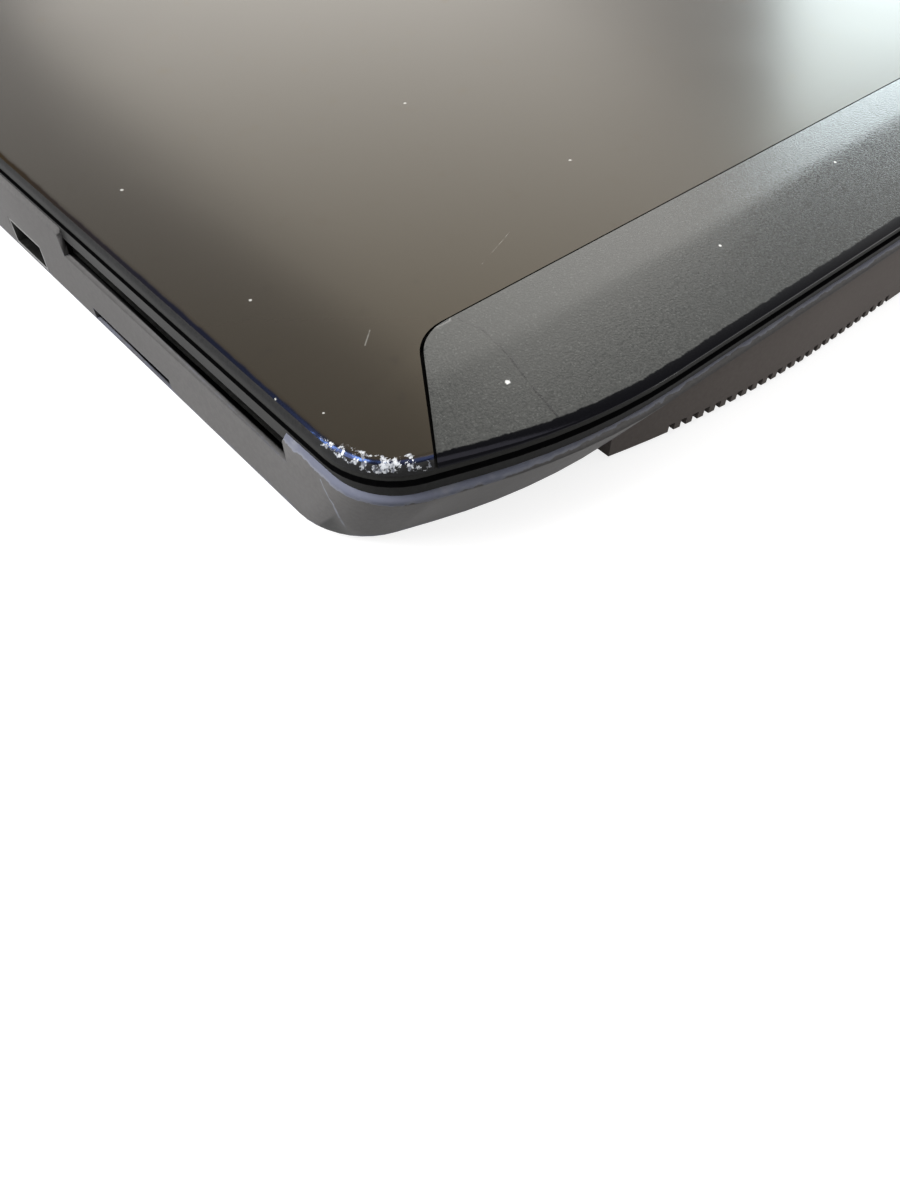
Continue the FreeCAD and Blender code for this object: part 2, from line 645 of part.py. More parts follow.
def cover_cuts():
    # Openings in the walls and the floor, each through one wall
    cuts = []
    gap = s.portClear
    left = (-half - past, -xInner)
    right = (xInner, half + past)

    def wall(name, x, front, length, low, high):
        y = yFront + front
        cuts.append(span(name, (x[0], y, low), (x[1], y + length, high)))

    y = yFront + s.sdSlotFront
    high = (left[1] + s.coverWall, y + s.sdSlotLength, sd_z + s.sdSlotHeight)
    slot = span("sd_slot", (left[0], y, sd_z), high)
    low = (-xInner, y - s.cageWall - gap, zFloor - s.sdDrop)
    high = (-xInner + s.sdCageDepth + gap * 2, y + s.sdSlotLength + s.cageWall + gap, zFloor + past)
    cuts.append(fuse("cut_sd", [slot, span("sd_seat", low, high)]))
    cuts.append(span("cut_rear", (-half, yDeckRear, zRear), (half, yBack + past, zPart + past)))
    wall("cut_card", left, s.cardSlotFront, s.cardSlotLength, slot_z, zPart + past)
    wall("cut_usb", left, s.usbFront - gap, s.usbWidth + gap * 2, zFloor, zFloor + s.usbHeight + gap)
    for i, front in enumerate(right_ports):
        wall(f"cut_usb_{i}", right, front - gap, s.usbWidth + gap * 2, zFloor, zFloor + s.usbHeight + gap)
    wall("cut_lan", right, s.lanFront - gap, s.lanWidth + gap * 2, zFloor, zFloor + s.lanHeight + gap)
    lock = (right[0], yBack - s.lockFront, zBoard)
    cuts.append(span("cut_lock", lock, (right[1], lock[1] + s.lockWidth, zBoard + s.lockHeight)))
    y = yFront + s.audioFront
    length = half + past - xInner
    cuts.append(cylinder("cut_audio", s.audioRadius + gap, length, (xInner, y, zFloor + s.audioRadius), "x"))
    rear = (yBack - s.coverInset - s.coverWall, yBack + past)
    low = (s.videoOffset - gap, rear[0], zFloor)
    high = (s.videoOffset + s.videoWidth + gap, rear[1], zFloor + s.videoHeight + gap)
    cuts.append(span("cut_video", low, high))
    at = (s.inletOffset, rear[0], zFloor + s.inletRadius)
    cuts.append(cylinder("cut_inlet", s.inletRadius + gap, rear[1] - rear[0], at, "y"))
    for i in range(slot_count()):
        x = fan_x - s.fanSide / 2 + s.ventPitch * (i + 0.75)
        low = (x, rear[0], zFloor + s.ventSlot)
        cuts.append(span(f"cut_vent_{i}", low, (x + s.ventSlot, rear[1], zFloor + s.ventSlot + s.ventHeight)))
    for i in range(-3, 4):
        y = fan_y + s.ventPitch * i
        low = (fan_x - s.fanEye, y - s.ventSlot / 2, zCover - past)
        cuts.append(span(f"cut_intake_{i + 3}", low, (fan_x + s.fanEye, y + s.ventSlot / 2, zFloor)))
    return cuts


def slot_count():
    return int(float(s.fanSide) // float(s.ventPitch)) - 1


def screw_places():
    # Screws of the lower case, near its edges
    y_low = yFront + s.undercut + s.coverScrewInset + s.coverWall
    y_high = yBack - s.coverScrewInset
    x = half - s.coverScrewSide
    middle = board_front - s.boardFront / 2
    corners = [(sign * x, y) for sign in (-1, 1) for y in (y_low, y_high)]
    return corners + [(0, y_low), (0, y_high), (0, middle)]


def boss_places():
    x = (board_left + s.bossInset, s.boardRight - s.bossInset)
    y = (board_front + s.bossInset, board_rear - s.bossInset)
    return [(a, b) for a in x for b in y]


def bottom_cover():
    body = cover_outside("cover_shell")
    height = zPart - zCover
    wall = s.coverInset + s.coverWall
    room = outline(wall, front=s.undercut, corner=s.footCorner)
    low = sketch(body, "cover_room_low", room, s.coverFloor)
    high = sketch(body, "cover_room_high", outline(wall), height - s.ledgeThick)
    loft(body, "cover_room", "SubtractiveLoft", [low, high])
    mouth = outline(wall, rear=yDeckRear - s.ledgeLap)
    pocket(body, sketch(body, "cover_mouth", mouth, height - s.ledgeThick), s.ledgeThick)
    bosses = []
    threads = []
    for i, (x, y) in enumerate(boss_places()):
        bosses.append(cylinder(f"boss_{i}", s.bossRadius, s.boardRise, (x, y, zFloor)))
        threads.append(cylinder(f"boss_thread_{i}", s.screwRadius, s.boardRise, (x, y, zFloor)))
    wells = []
    for i, (x, y) in enumerate(screw_places()):
        seat = cylinder(f"cover_seat_{i}", s.coverHead + s.screwClear, s.coverHeadThick, (x, y, zCover))
        hole = cylinder(f"cover_hole_{i}", s.coverShank, s.coverFloor, (x, y, zCover))
        wells.append(fuse(f"cover_well_{i}", [seat, hole]))
    shell = fuse("cover_blank", [body] + bosses)
    return node(cut("bottom_cover", shell, cover_cuts() + threads + wells))


def cover_fasteners():
    screws = []
    for i, (x, y) in enumerate(screw_places()):
        head = cylinder(f"cover_head_{i}", s.coverHead, s.coverHeadThick, (x, y, zCover))
        at = (x, y, zCover + s.coverHeadThick)
        shank = cylinder(f"cover_shank_{i}", s.coverShank - s.screwClear, s.coverShankLength, at)
        screws.append(fuse(f"cover_screw_{i}", [head, shank]))
    node(group("bottom_screws", screws))
    feet = []
    front = yFront + s.undercut + s.footInsetFront
    rows = (("front", front), ("rear", yBack - s.footInsetRear - s.footWidth))
    for side, sign in sides():
        for end, y in rows:
            low, high = from_side(sign, half - s.footInsetX - s.footLength, half - s.footInsetX)
            round_end = s.footWidth / 2
            corner = (low + round_end, y, 0)
            bar = span(f"foot_bar_{side}_{end}", corner, (high - round_end, y + s.footWidth, zCover))
            ends = []
            for i, x in enumerate((low + round_end, high - round_end)):
                ends.append(cylinder(f"foot_end_{side}_{end}_{i}", round_end, zCover, (x, y + round_end, 0)))
            feet.append(fuse(f"foot_{side}_{end}", [bar] + ends))
    node(group("rubber_feet", feet))


def front_grille():
    body = new_body("chin_blank", zCover)
    pad(body, sketch(body, "chin_plan", chin_plan()), s.chinRise)
    solid = cut("chin_solid", body, [cover_outside("chin_room")])
    ribs = []
    count = int(float(s.ribRun) // float(s.ribPitch))
    for side, sign in sides():
        for i in range(count):
            x = float(half - s.ribStart - s.ribPitch * i)
            front = chin_front(x) - past
            size = (s.ribWidth, s.ribDepth + past, s.ribHeight + past)
            ribs.append(box(f"rib_{side}_{i}", size, (sign * x - s.ribWidth / 2, front, zCover - past)))
    return node(cut("front_grille", solid, ribs))


# Keyboard

row_widths = {
    "number_keys": [1] * 13 + [2],
    "upper_letter_keys": [1.5] + [1] * 12 + [1.5],
    "home_letter_keys": [1.75] + [1] * 11 + [2.25],
    "lower_letter_keys": [2.25] + [1] * 10 + [2.75],
    "modifier_keys": [1.25, 1, 1, 1, 5.25, 1, 1.5],
}
special_keys = {
    ("number_keys", 13): "backspace_key",
    ("home_letter_keys", 12): "enter_key",
    ("lower_letter_keys", 0): "shift_keys",
    ("lower_letter_keys", 11): "shift_keys",
    ("modifier_keys", 4): "space_bar",
}


def key_places():
    # Each key's node, lower corner and plan size
    keys = []
    left = -keyboard_width / 2
    rear = frame_rear - s.frameMargin
    y = rear - s.functionPitch
    depth = s.functionPitch - s.keyGap
    for i in range(key_columns):
        keys.append(("function_keys", left + s.keyPitch * i, y, s.keyPitch - s.keyGap, depth))
    depth = s.keyPitch - s.keyGap
    for row, widths in row_widths.items():
        y = y - s.keyPitch
        units = 0
        for i, width in enumerate(widths):
            name = special_keys.get((row, i), row)
            keys.append((name, left + s.keyPitch * units, y, s.keyPitch * width - s.keyGap, depth))
            units = units + width
    small = (s.keyPitch - s.keyGap * 2) / 2
    single = s.keyPitch - s.keyGap
    keys.append(("arrow_keys", left + s.keyPitch * 12, y, single, small))
    keys.append(("arrow_keys", left + s.keyPitch * 13, y, single, small))
    keys.append(("arrow_keys", left + s.keyPitch * 13, y + s.keyPitch / 2, single, small))
    keys.append(("arrow_keys", left + s.keyPitch * 14, y, single, small))
    return [(name, x + s.keyGap / 2, y + s.keyGap / 2, w, d) for name, x, y, w, d in keys]


def keyboard():
    top = zDeck - s.keyDrop
    bottom = top - s.keyHeight
    caps = {}
    holes = []
    gap = s.keyHoleGap
    for i, (name, x, y, w, d) in enumerate(key_places()):
        caps.setdefault(name, []).append(box(f"key_{i}", (w, d, s.keyHeight), (x, y, bottom)))
        low = (x - gap, y - gap, frame_bottom - past)
        holes.append(span(f"key_hole_{i}", low, (x + w + gap, y + d + gap, frame_top + past)))
    for name, members in caps.items():
        node(group(name, members) if len(members) > 1 else renamed(members[0], name))
    plate = span("frame_blank", (-frame_half, frame_front, frame_bottom), (frame_half, frame_rear, frame_top))
    node(cut("keyboard_frame", plate, holes))
    floor = bottom - s.keyTravel - s.trayRoom
    low = floor - s.trayThick
    tray = span("tray_blank", (-frame_half, frame_front, low), (frame_half, frame_rear, frame_bottom))
    wing = s.trayFlange
    rim_low = (-frame_half - wing, frame_front - wing, zSkin - s.trayLip)
    rim = span("tray_rim", rim_low, (frame_half + wing, frame_rear + wing, frame_bottom))
    wall = s.trayWall
    room_low = (-frame_half + wall, frame_front + wall, floor)
    room = span("tray_room", room_low, (frame_half - wall, frame_rear - wall, frame_bottom + past))
    node(cut("keyboard_plate", fuse("tray_form", [tray, rim]), [room]))


def renamed(obj, name):
    obj.Label = name
    return obj


def deck_controls():
    x = s.padWidth / 2
    top = zDeck - s.padDrop
    plate = span("pad_plate", (-x, pad_low, zSkin), (x, pad_high, top))
    wing = s.padFlange
    back = span("pad_back", (-x - wing, pad_low, zSkin - s.padPlate), (x + wing, pad_high + wing, zSkin))
    node(fuse("touchpad", [plate, back]))
    top = zDeck - s.keyDrop
    for side, sign in sides():
        low, high = from_side(sign, s.buttonGap / 2, s.padWidth / 2)
        node(span(f"pad_button_{side}", (low, button_low, top - s.buttonThick), (high, button_high, top)))
    size = (s.powerWidth, s.powerDepth, s.buttonThick)
    node(box("power_button", size, (power_at[0], power_at[1], top - s.buttonThick)))
    size = (s.lightWidth, s.lightDepth, s.deckSkin)
    lights = [box(f"light_{i}", size, (light_low(i), lights_at[1], zSkin)) for i in range(3)]
    node(group("status_lights", lights))


# Inside the base


def cage(name, low, high, open_low, wall, tongue=None):
    # A thin metal box, open at the side where the plug or card goes in
    shell = span(name + "_shell", low, high)
    room_low = [v + wall for v in low]
    room_high = [v - wall for v in high]
    if open_low:
        room_low[0] = low[0] - past
    else:
        room_high[0] = high[0] + past
    hollow = cut(name + "_cage", shell, [span(name + "_room", room_low, room_high)])
    if tongue is None:
        return hollow
    middle = (low[2] + high[2]) / 2
    t_low = [low[0] + wall * 2, low[1] + wall * 3, middle]
    t_high = [high[0] - wall / 2, high[1] - wall * 3, middle + tongue]
    if not open_low:
        t_low[0] = low[0] + wall / 2
        t_high[0] = high[0] - wall * 2
    return fuse(name + "_port", [hollow, span(name + "_tongue", t_low, t_high)])


def side_ports():
    gap = s.portClear
    x = -xInner + gap
    y = yFront + s.cardSlotFront
    low = (x, y - s.cageWall, slot_z - s.cageWall)
    high = (x + s.cardCageDepth, y + s.cardSlotLength + s.cageWall, slot_top + s.cageWall)
    node(renamed(cage("card_cage", low, high, True, s.cageWall), "card_reader"))
    y = yFront + s.sdSlotFront
    low = (x, y - s.cageWall, sd_z - s.cageWall)
    high = (x + s.sdCageDepth, y + s.sdSlotLength + s.cageWall, sd_z + s.sdSlotHeight + s.cageWall)
    node(renamed(cage("sd_cage", low, high, True, s.cageWall), "sd_reader"))
    usb = []
    flush = s.coverWall - gap * 3
    y = yFront + s.usbFront
    low = (x - flush, y, zFloor)
    high = (x + s.usbDepth, y + s.usbWidth, zFloor + s.usbHeight)
    usb.append(cage("usb_left", low, high, True, s.cageWall, s.usbTongue))
    x = xInner - gap
    for i, front in enumerate(right_ports):
        y = yFront + front
        low = (x - s.usbDepth, y, zFloor)
        high = (x + flush, y + s.usbWidth, zFloor + s.usbHeight)
        usb.append(cage(f"usb_right_{i}", low, high, False, s.cageWall, s.usbTongue))
    node(group("usb_ports", usb))
    y = yFront + s.lanFront
    low = (x - s.lanDepth, y, zFloor)
    high = (x + flush, y + s.lanWidth, zFloor + s.lanHeight)
    node(renamed(cage("lan_shell", low, high, False, s.lanWall), "lan_jack"))
    y = yFront + s.audioFront
    z = zFloor + s.audioRadius
    body = cylinder("audio_body", s.audioRadius, s.audioDepth + flush, (x - s.audioDepth, y, z), "x")
    at = (x - s.audioDepth + s.audioBore, y, z)
    bore = cylinder("audio_bore", s.audioBore, s.audioDepth + flush, at, "x")
    node(cut("audio_jack", body, [bore]))


def rear_ports():
    gap = s.portClear
    y_out = yBack - s.coverInset - gap * 2
    low = (s.videoOffset, y_out - s.videoDepth, zFloor)
    high = (s.videoOffset + s.videoWidth, y_out, zFloor + s.videoHeight)
    shell = span("video_shell", low, high)
    wall = s.cageWall
    room_low = (low[0] + wall, low[1] + wall, low[2] + wall)
    room = span("video_room", room_low, (high[0] - wall, high[1] + past, high[2] - wall))
    tongue_low = (low[0] + wall * 4, low[1] + wall / 2, low[2] + wall * 5)
    tongue = span("video_tongue", tongue_low, (high[0] - wall * 4, high[1] - wall * 2, high[2] - wall * 4))
    node(fuse("video_port", [cut("video_cage", shell, [room]), tongue]))
    at = (s.inletOffset, y_out - s.inletDepth, zFloor + s.inletRadius)
    body = cylinder("inlet_body", s.inletRadius, s.inletDepth, at, "y")
    at = (s.inletOffset, y_out - s.inletDepth + s.inletBore, zFloor + s.inletRadius)
    bore = cylinder("inlet_bore", s.inletBore, s.inletDepth, at, "y")
    at = (s.inletOffset, y_out - s.inletDepth + s.inletPin, zFloor + s.inletRadius)
    pin = cylinder("inlet_pin", s.inletPin, s.inletDepth - s.inletBore, at, "y")
    node(fuse("power_inlet", [cut("inlet_cup", body, [bore]), pin]))


chip_y = board_rear - s.chipY


def main_board():
    low = (board_left, board_front, zBoard)
    high = (s.boardRight, board_rear, zBoardTop)
    holes = []
    screws = []
    for i, (x, y) in enumerate(boss_places()):
        holes.append(cylinder(f"board_hole_{i}", s.screwRadius + s.screwClear, s.boardThick, (x, y, zBoard)))
        head = cylinder(f"board_head_{i}", s.screwHead, s.screwHeadThick, (x, y, zBoardTop))
        at = (x, y, zBoard - s.boardThick)
        shank = cylinder(f"board_shank_{i}", s.screwRadius - s.screwClear, s.boardThick * 2, at)
        screws.append(fuse(f"board_screw_{i}", [head, shank]))
    node(cut("motherboard", span("board_blank", low, high), holes))
    node(group("board_screws", screws))
    at = (-s.chipX - s.chipWidth / 2, chip_y - s.chipDepth / 2, zBoardTop)
    node(box("processor", (s.chipWidth, s.chipDepth, s.chipThick), at))
    at = (s.ramX, board_front + s.ramY, zBoardTop)
    node(box("ram_module", (s.ramWidth, s.ramDepth, s.ramThick), at))
    at = (s.wifiX, board_rear - s.wifiY - s.wifiDepth, zBoardTop)
    node(box("wifi_card", (s.wifiWidth, s.wifiDepth, s.wifiThick), at))
    node(cylinder("coin_cell", s.cellRadius, s.cellThick, (s.cellX, board_rear - s.cellY, zBoardTop)))


def cooling():
    z = zBoardTop + s.chipThick
    at = (-s.chipX - s.spreaderWidth / 2, chip_y - s.spreaderDepth / 2, z)
    node(box("heat_spreader", (s.spreaderWidth, s.spreaderDepth, s.spreaderThick), at))
    z = z + s.spreaderThick
    fan_rear = fan_y + s.fanSide / 2
    fan_left = fan_x - s.fanSide / 2
    pipe_y = fan_rear + s.finDepth / 2 - s.pipeWidth / 2
    run_low = (-s.chipX - s.pipeWidth / 2, chip_y - s.spreaderDepth / 2, z)
    run = span("pipe_run", run_low, (-s.chipX + s.pipeWidth / 2, pipe_y + s.pipeWidth, z + s.pipeThick))
    end_low = (fan_left, pipe_y, z)
    end = span("pipe_end", end_low, (-s.chipX + s.pipeWidth / 2, pipe_y + s.pipeWidth, z + s.pipeThick))
    node(fuse("heat_pipe", [run, end]))
    plate_high = (fan_left + s.fanSide, fan_rear + s.finDepth, z)
    fins = [span("fin_plate", (fan_left, fan_rear, z - s.finPlate), plate_high)]
    count = int(float(s.fanSide) // float(s.finPitch)) + 1
    for i in range(count):
        x = fan_left + s.finPitch * i
        fins.append(span(f"fin_{i}", (x, fan_rear, zFloor), (x + s.finThick, fan_rear + s.finDepth, z)))
    node(fuse("heatsink_fins", fins))
    side = s.fanSide / 2
    top = zFloor + s.fanHeight
    blank = span("fan_blank", (fan_left, fan_y - side, zFloor), (fan_left + s.fanSide, fan_rear, top))
    centre = (fan_x, fan_y, zFloor + s.fanWall)
    room = cylinder("fan_room", s.fanRoom, s.fanHeight - s.fanWall * 2, centre)
    mouth_low = (fan_x - s.fanRoom, fan_y, zFloor + s.fanWall)
    mouth = span("fan_mouth", mouth_low, (fan_x + s.fanRoom, fan_rear + past, top - s.fanWall))
    eye = cylinder("fan_eye", s.fanEye, s.fanHeight, centre)
    shell = cut("fan_shell", blank, [fuse("fan_space", [room, mouth, eye])])
    pin = cylinder("fan_pin", s.fanPin, s.fanHeight - s.fanWall * 2, centre)
    node(fuse("fan_housing", [shell, pin]))
    height = s.fanHeight - s.fanWall * 2 - s.fanGap * 2
    z = zFloor + s.fanWall + s.fanGap
    hub = cylinder("rotor_hub", s.fanHub, height, (fan_x, fan_y, z))
    blades = [hub]
    length = s.fanRoom - s.fanTip
    for i in range(16):
        blade = box(f"blade_{i}", (length, s.bladeThick, height), (fan_x, fan_y, z))
        blade.Placement = FreeCAD.Placement(blade.Placement.Base, FreeCAD.Rotation(360 / 16 * i, 0, 0))
        blades.append(blade)
    bore = cylinder("rotor_bore", s.fanPin + s.shaftClear, height, (fan_x, fan_y, z))
    node(cut("fan_rotor", fuse("rotor_blank", blades), [bore]))


def packs():
    x = xInner - s.portClear - s.usbDepth - s.jointGap - s.driveWidth
    node(box("drive", (s.driveWidth, s.driveDepth, s.driveThick), (x, speaker_rear + s.driveFront, zFloor)))
    at = (x - s.packWidth - s.jointGap, speaker_rear + s.packFront, zFloor)
    node(box("battery_pack", (s.packWidth, s.packDepth, s.packThick), at))
    speakers = []
    size = (s.speakerWidth, s.speakerDepth, s.speakerThick)
    for side, sign in sides():
        low, high = from_side(sign, s.speakerOffset, s.speakerOffset + s.speakerWidth)
        speakers.append(box(f"speaker_{side}", size, (low, speaker_front, zFloor)))
    node(group("speakers", speakers))


lid_cover()
antenna_cover()
display_bezel()
lid_inside()
hinges()
top_case()
bottom_cover()
cover_fasteners()
front_grille()
keyboard()
deck_controls()
side_ports()
rear_ports()
main_board()
cooling()
packs()
doc.recompute()

for obj in doc.Objects:
    if "Invalid" in obj.State or "Error" in obj.State:
        raise RuntimeError(f"{obj.Name} failed: {obj.State}")
for obj in nodes:
    if obj.Shape.isNull() or not obj.Shape.isValid() or not obj.Shape.Solids:
        raise RuntimeError(f"{obj.Label} has no valid solid")

os.makedirs("parts", exist_ok=True)
for obj in nodes:
    obj.Shape.exportStep(f"parts/{obj.Label}.step")
print(len(nodes), "nodes")
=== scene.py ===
import json
import math

import bmesh
import bpy
from mathutils import Matrix, Vector


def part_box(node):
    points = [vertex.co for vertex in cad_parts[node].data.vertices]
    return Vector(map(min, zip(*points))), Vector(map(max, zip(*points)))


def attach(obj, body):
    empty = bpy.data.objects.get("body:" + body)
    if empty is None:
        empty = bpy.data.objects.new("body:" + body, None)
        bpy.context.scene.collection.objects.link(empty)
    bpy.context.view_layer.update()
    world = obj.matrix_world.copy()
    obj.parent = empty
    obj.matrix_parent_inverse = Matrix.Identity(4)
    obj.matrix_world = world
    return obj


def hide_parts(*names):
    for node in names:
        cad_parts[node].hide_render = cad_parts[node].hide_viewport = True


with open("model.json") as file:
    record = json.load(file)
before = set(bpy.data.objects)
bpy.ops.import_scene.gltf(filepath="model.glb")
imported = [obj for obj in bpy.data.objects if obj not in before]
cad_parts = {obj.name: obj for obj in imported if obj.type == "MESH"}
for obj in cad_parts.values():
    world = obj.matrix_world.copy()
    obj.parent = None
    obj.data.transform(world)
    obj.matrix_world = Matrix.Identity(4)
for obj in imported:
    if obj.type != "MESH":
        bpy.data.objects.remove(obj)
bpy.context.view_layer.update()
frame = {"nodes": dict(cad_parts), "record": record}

scene = bpy.context.scene
scene.view_settings.view_transform = 'Standard'
mm = 0.001
cadNodes = frame["nodes"]
record = frame["record"]
print("frame loaded:", len(cadNodes), "nodes")


# small helpers for shader trees

def put(tree, kind, **settings):
    node = tree.nodes.new("ShaderNode" + kind)
    for key, value in settings.items():
        setattr(node, key, value)
    return node


def feed(tree, socket, value):
    if isinstance(value, bpy.types.NodeSocket):
        tree.links.new(value, socket)
    else:
        socket.default_value = value


def calc(tree, operation, a, b=0.0, c=0.0, clamp=False):
    node = put(tree, "Math", operation=operation, use_clamp=clamp)
    for socket, value in zip(node.inputs, (a, b, c)):
        feed(tree, socket, value)
    return node.outputs[0]


def vector(tree, operation, a, b=(0, 0, 0), out=0):
    node = put(tree, "VectorMath", operation=operation)
    feed(tree, node.inputs[0], a)
    feed(tree, node.inputs[1], b)
    return node.outputs[out]


def fade(tree, value, start, end):  # 0 at the start, 1 at the end and soft between them
    node = put(tree, "MapRange", interpolation_type='SMOOTHSTEP')
    for label, number in (("Value", value), ("From Min", start), ("From Max", end)):
        feed(tree, node.inputs[label], number)
    return node.outputs[0]


def tint(tree, amount, a, b):
    node = put(tree, "Mix", data_type='RGBA')
    feed(tree, node.inputs[0], amount)
    for socket, value in ((node.inputs[6], a), (node.inputs[7], b)):
        feed(tree, socket, value if isinstance(value, bpy.types.NodeSocket) else (*value, 1.0))
    return node.outputs[2]


def cloud(tree, where, scale, detail=2.0, roughness=0.5):
    node = put(tree, "TexNoise")
    feed(tree, node.inputs["Vector"], where)
    feed(tree, node.inputs["Scale"], scale)
    node.inputs["Detail"].default_value = detail
    node.inputs["Roughness"].default_value = roughness
    return node.outputs[0]


def place(tree):
    return put(tree, "TexCoord").outputs["Object"]


def axesOf(tree, where):
    node = put(tree, "SeparateXYZ")
    feed(tree, node.inputs[0], where)
    return node.outputs


def stretch(tree, where, size, turn=0.0):
    node = put(tree, "Mapping")
    feed(tree, node.inputs["Vector"], where)
    node.inputs["Scale"].default_value = size
    node.inputs["Rotation"].default_value = (0, 0, turn)
    return node.outputs[0]


def startGroup(name, inputs, outputs):
    tree = bpy.data.node_groups.new(name, "ShaderNodeTree")
    for label, kind, value in inputs:
        socket = tree.interface.new_socket(label, in_out='INPUT', socket_type="NodeSocket" + kind)
        socket.default_value = value
    for label in outputs:
        tree.interface.new_socket(label, in_out='OUTPUT', socket_type="NodeSocketFloat")
    return tree, tree.nodes.new("NodeGroupInput").outputs, tree.nodes.new("NodeGroupOutput").inputs


def useGroup(tree, group, **values):
    node = tree.nodes.new("ShaderNodeGroup")
    node.node_tree = group
    for label, value in values.items():
        feed(tree, node.inputs[label], value)
    return node.outputs


# effects that several finishes share: ranges are grey levels of noise, shares and cores are parts of 1

effectLook = {
    "sparkleScale": 1.6, "sparkleRange": (0.86, 0.99),
    "fineBrush": (14, 5200, 400), "fineShare": 0.6, "broadBrush": (4, 900, 100), "broadShare": 0.4,
    "warpScale": 0.6, "warpReach": 0.05, "smudgeRange": (0.3, 0.7),
    "rubTurn": (0.02, 0.22), "rubRange": (0.35, 0.62),
    "lineWobble": 0.5, "wobbleScale": 260.0, "lineCore": 0.3, "breakScale": 700.0, "breakRange": (0.28, 0.5),
    "spotScale": 2600.0, "spotRag": (1.2, 0.4), "spotCore": 0.5,
    "chipStretch": (1.0, 1.5, 1.0), "chipTurn": 0.7, "chipRange": (0.475, 0.53),
    "toneScale": 1.7, "toneRange": (0.38, 0.62),
}


def makeGrain():  # moulded grain: fine mottling and single bright grains
    tree, given, result = startGroup("fineGrain", [("scale", "Float", 900.0)], ["mottle", "sparkle"])
    where = place(tree)
    tree.links.new(cloud(tree, where, given["scale"], 3.0, 0.65), result["mottle"])
    cells = put(tree, "TexVoronoi", feature='F1')
    feed(tree, cells.inputs["Vector"], where)
    feed(tree, cells.inputs["Scale"], calc(tree, 'MULTIPLY', given["scale"], effectLook["sparkleScale"]))
    pick = put(tree, "SeparateColor")
    feed(tree, pick.inputs[0], cells.outputs["Color"])
    tree.links.new(fade(tree, pick.outputs[0], *effectLook["sparkleRange"]), result["sparkle"])
    return tree


def makeBrush():  # straight brush lines along X
    tree, given, result = startGroup("brushLines", [("scale", "Float", 1.0)], ["lines"])
    look = effectLook
    fine = cloud(tree, stretch(tree, place(tree), look["fineBrush"]), given["scale"], 2.0, 0.6)
    broad = cloud(tree, stretch(tree, place(tree), look["broadBrush"]), given["scale"], 1.0, 0.5)
    broad = calc(tree, 'MULTIPLY', broad, look["broadShare"])
    tree.links.new(calc(tree, 'MULTIPLY_ADD', fine, look["fineShare"], broad), result["lines"])
    return tree


def makeSmudge():  # soft patches left by hands and cloths
    tree, given, result = startGroup("handSmudge", [("scale", "Float", 14.0)], ["smudge"])
    look = effectLook
    where = place(tree)
    warp = cloud(tree, where, calc(tree, 'MULTIPLY', given["scale"], look["warpScale"]), 1.0)
    moved = vector(tree, 'ADD', where, calc(tree, 'MULTIPLY', warp, look["warpReach"]))
    soft = cloud(tree, moved, given["scale"], 3.0, 0.55)
    tree.links.new(fade(tree, soft, *look["smudgeRange"]), result["smudge"])
    return tree


def makeEdge():  # where a corner of the piece is rubbed
    tree, given, result = startGroup(
        "edgeRub", [("radius", "Float", 0.0005), ("amount", "Float", 0.5), ("scale", "Float", 300.0)], ["rub"])
    bevel = put(tree, "Bevel", samples=4)
    feed(tree, bevel.inputs["Radius"], given["radius"])
    plain = put(tree, "NewGeometry").outputs["Normal"]
    turn = calc(tree, 'SUBTRACT', 1.0, vector(tree, 'DOT_PRODUCT', bevel.outputs[0], plain, out=1))
    broken = cloud(tree, place(tree), given["scale"], 4.0, 0.7)
    high = calc(tree, 'MULTIPLY', fade(tree, turn, *effectLook["rubTurn"]),
                fade(tree, broken, *effectLook["rubRange"]))
    tree.links.new(calc(tree, 'MULTIPLY', high, given["amount"], clamp=True), result["rub"])
    return tree


def makeLine():  # one scratch between two points
    tree, given, result = startGroup(
        "scratchLine", [("start", "Vector", (0, 0, 0)), ("end", "Vector", (0, 0.01, 0)), ("width", "Float", 0.0001)],
        ["mark"])
    look = effectLook
    where = place(tree)
    reach = look["lineWobble"] * mm
    wobble = calc(tree, 'MULTIPLY_ADD', cloud(tree, where, look["wobbleScale"], 2.0), reach, -reach / 2)
    toPoint = vector(tree, 'SUBTRACT', vector(tree, 'ADD', where, wobble), given["start"])
    along = vector(tree, 'SUBTRACT', given["end"], given["start"])
    share = calc(tree, 'DIVIDE', vector(tree, 'DOT_PRODUCT', toPoint, along, out=1),
                 vector(tree, 'DOT_PRODUCT', along, along, out=1), clamp=True)
    scaled = put(tree, "VectorMath", operation='SCALE')
    feed(tree, scaled.inputs[0], along)
    feed(tree, scaled.inputs["Scale"], share)
    away = vector(tree, 'DISTANCE', toPoint, scaled.outputs[0], out=1)
    mark = fade(tree, away, given["width"], calc(tree, 'MULTIPLY', given["width"], look["lineCore"]))
    broken = fade(tree, cloud(tree, where, look["breakScale"], 2.0), *look["breakRange"])
    tree.links.new(calc(tree, 'MULTIPLY', mark, broken), result["mark"])
    return tree


def makeSpot():  # one ragged speck
    tree, given, result = startGroup(
        "ragSpot", [("centre", "Vector", (0, 0, 0)), ("radius", "Float", 0.0003)], ["mark"])
    look = effectLook
    where = place(tree)
    rag = calc(tree, 'MULTIPLY_ADD', cloud(tree, where, look["spotScale"], 3.0), *look["spotRag"])
    away = calc(tree, 'MULTIPLY', vector(tree, 'DISTANCE', where, given["centre"], out=1), rag)
    core = calc(tree, 'MULTIPLY', given["radius"], look["spotCore"])
    tree.links.new(fade(tree, away, given["radius"], core), result["mark"])
    return tree


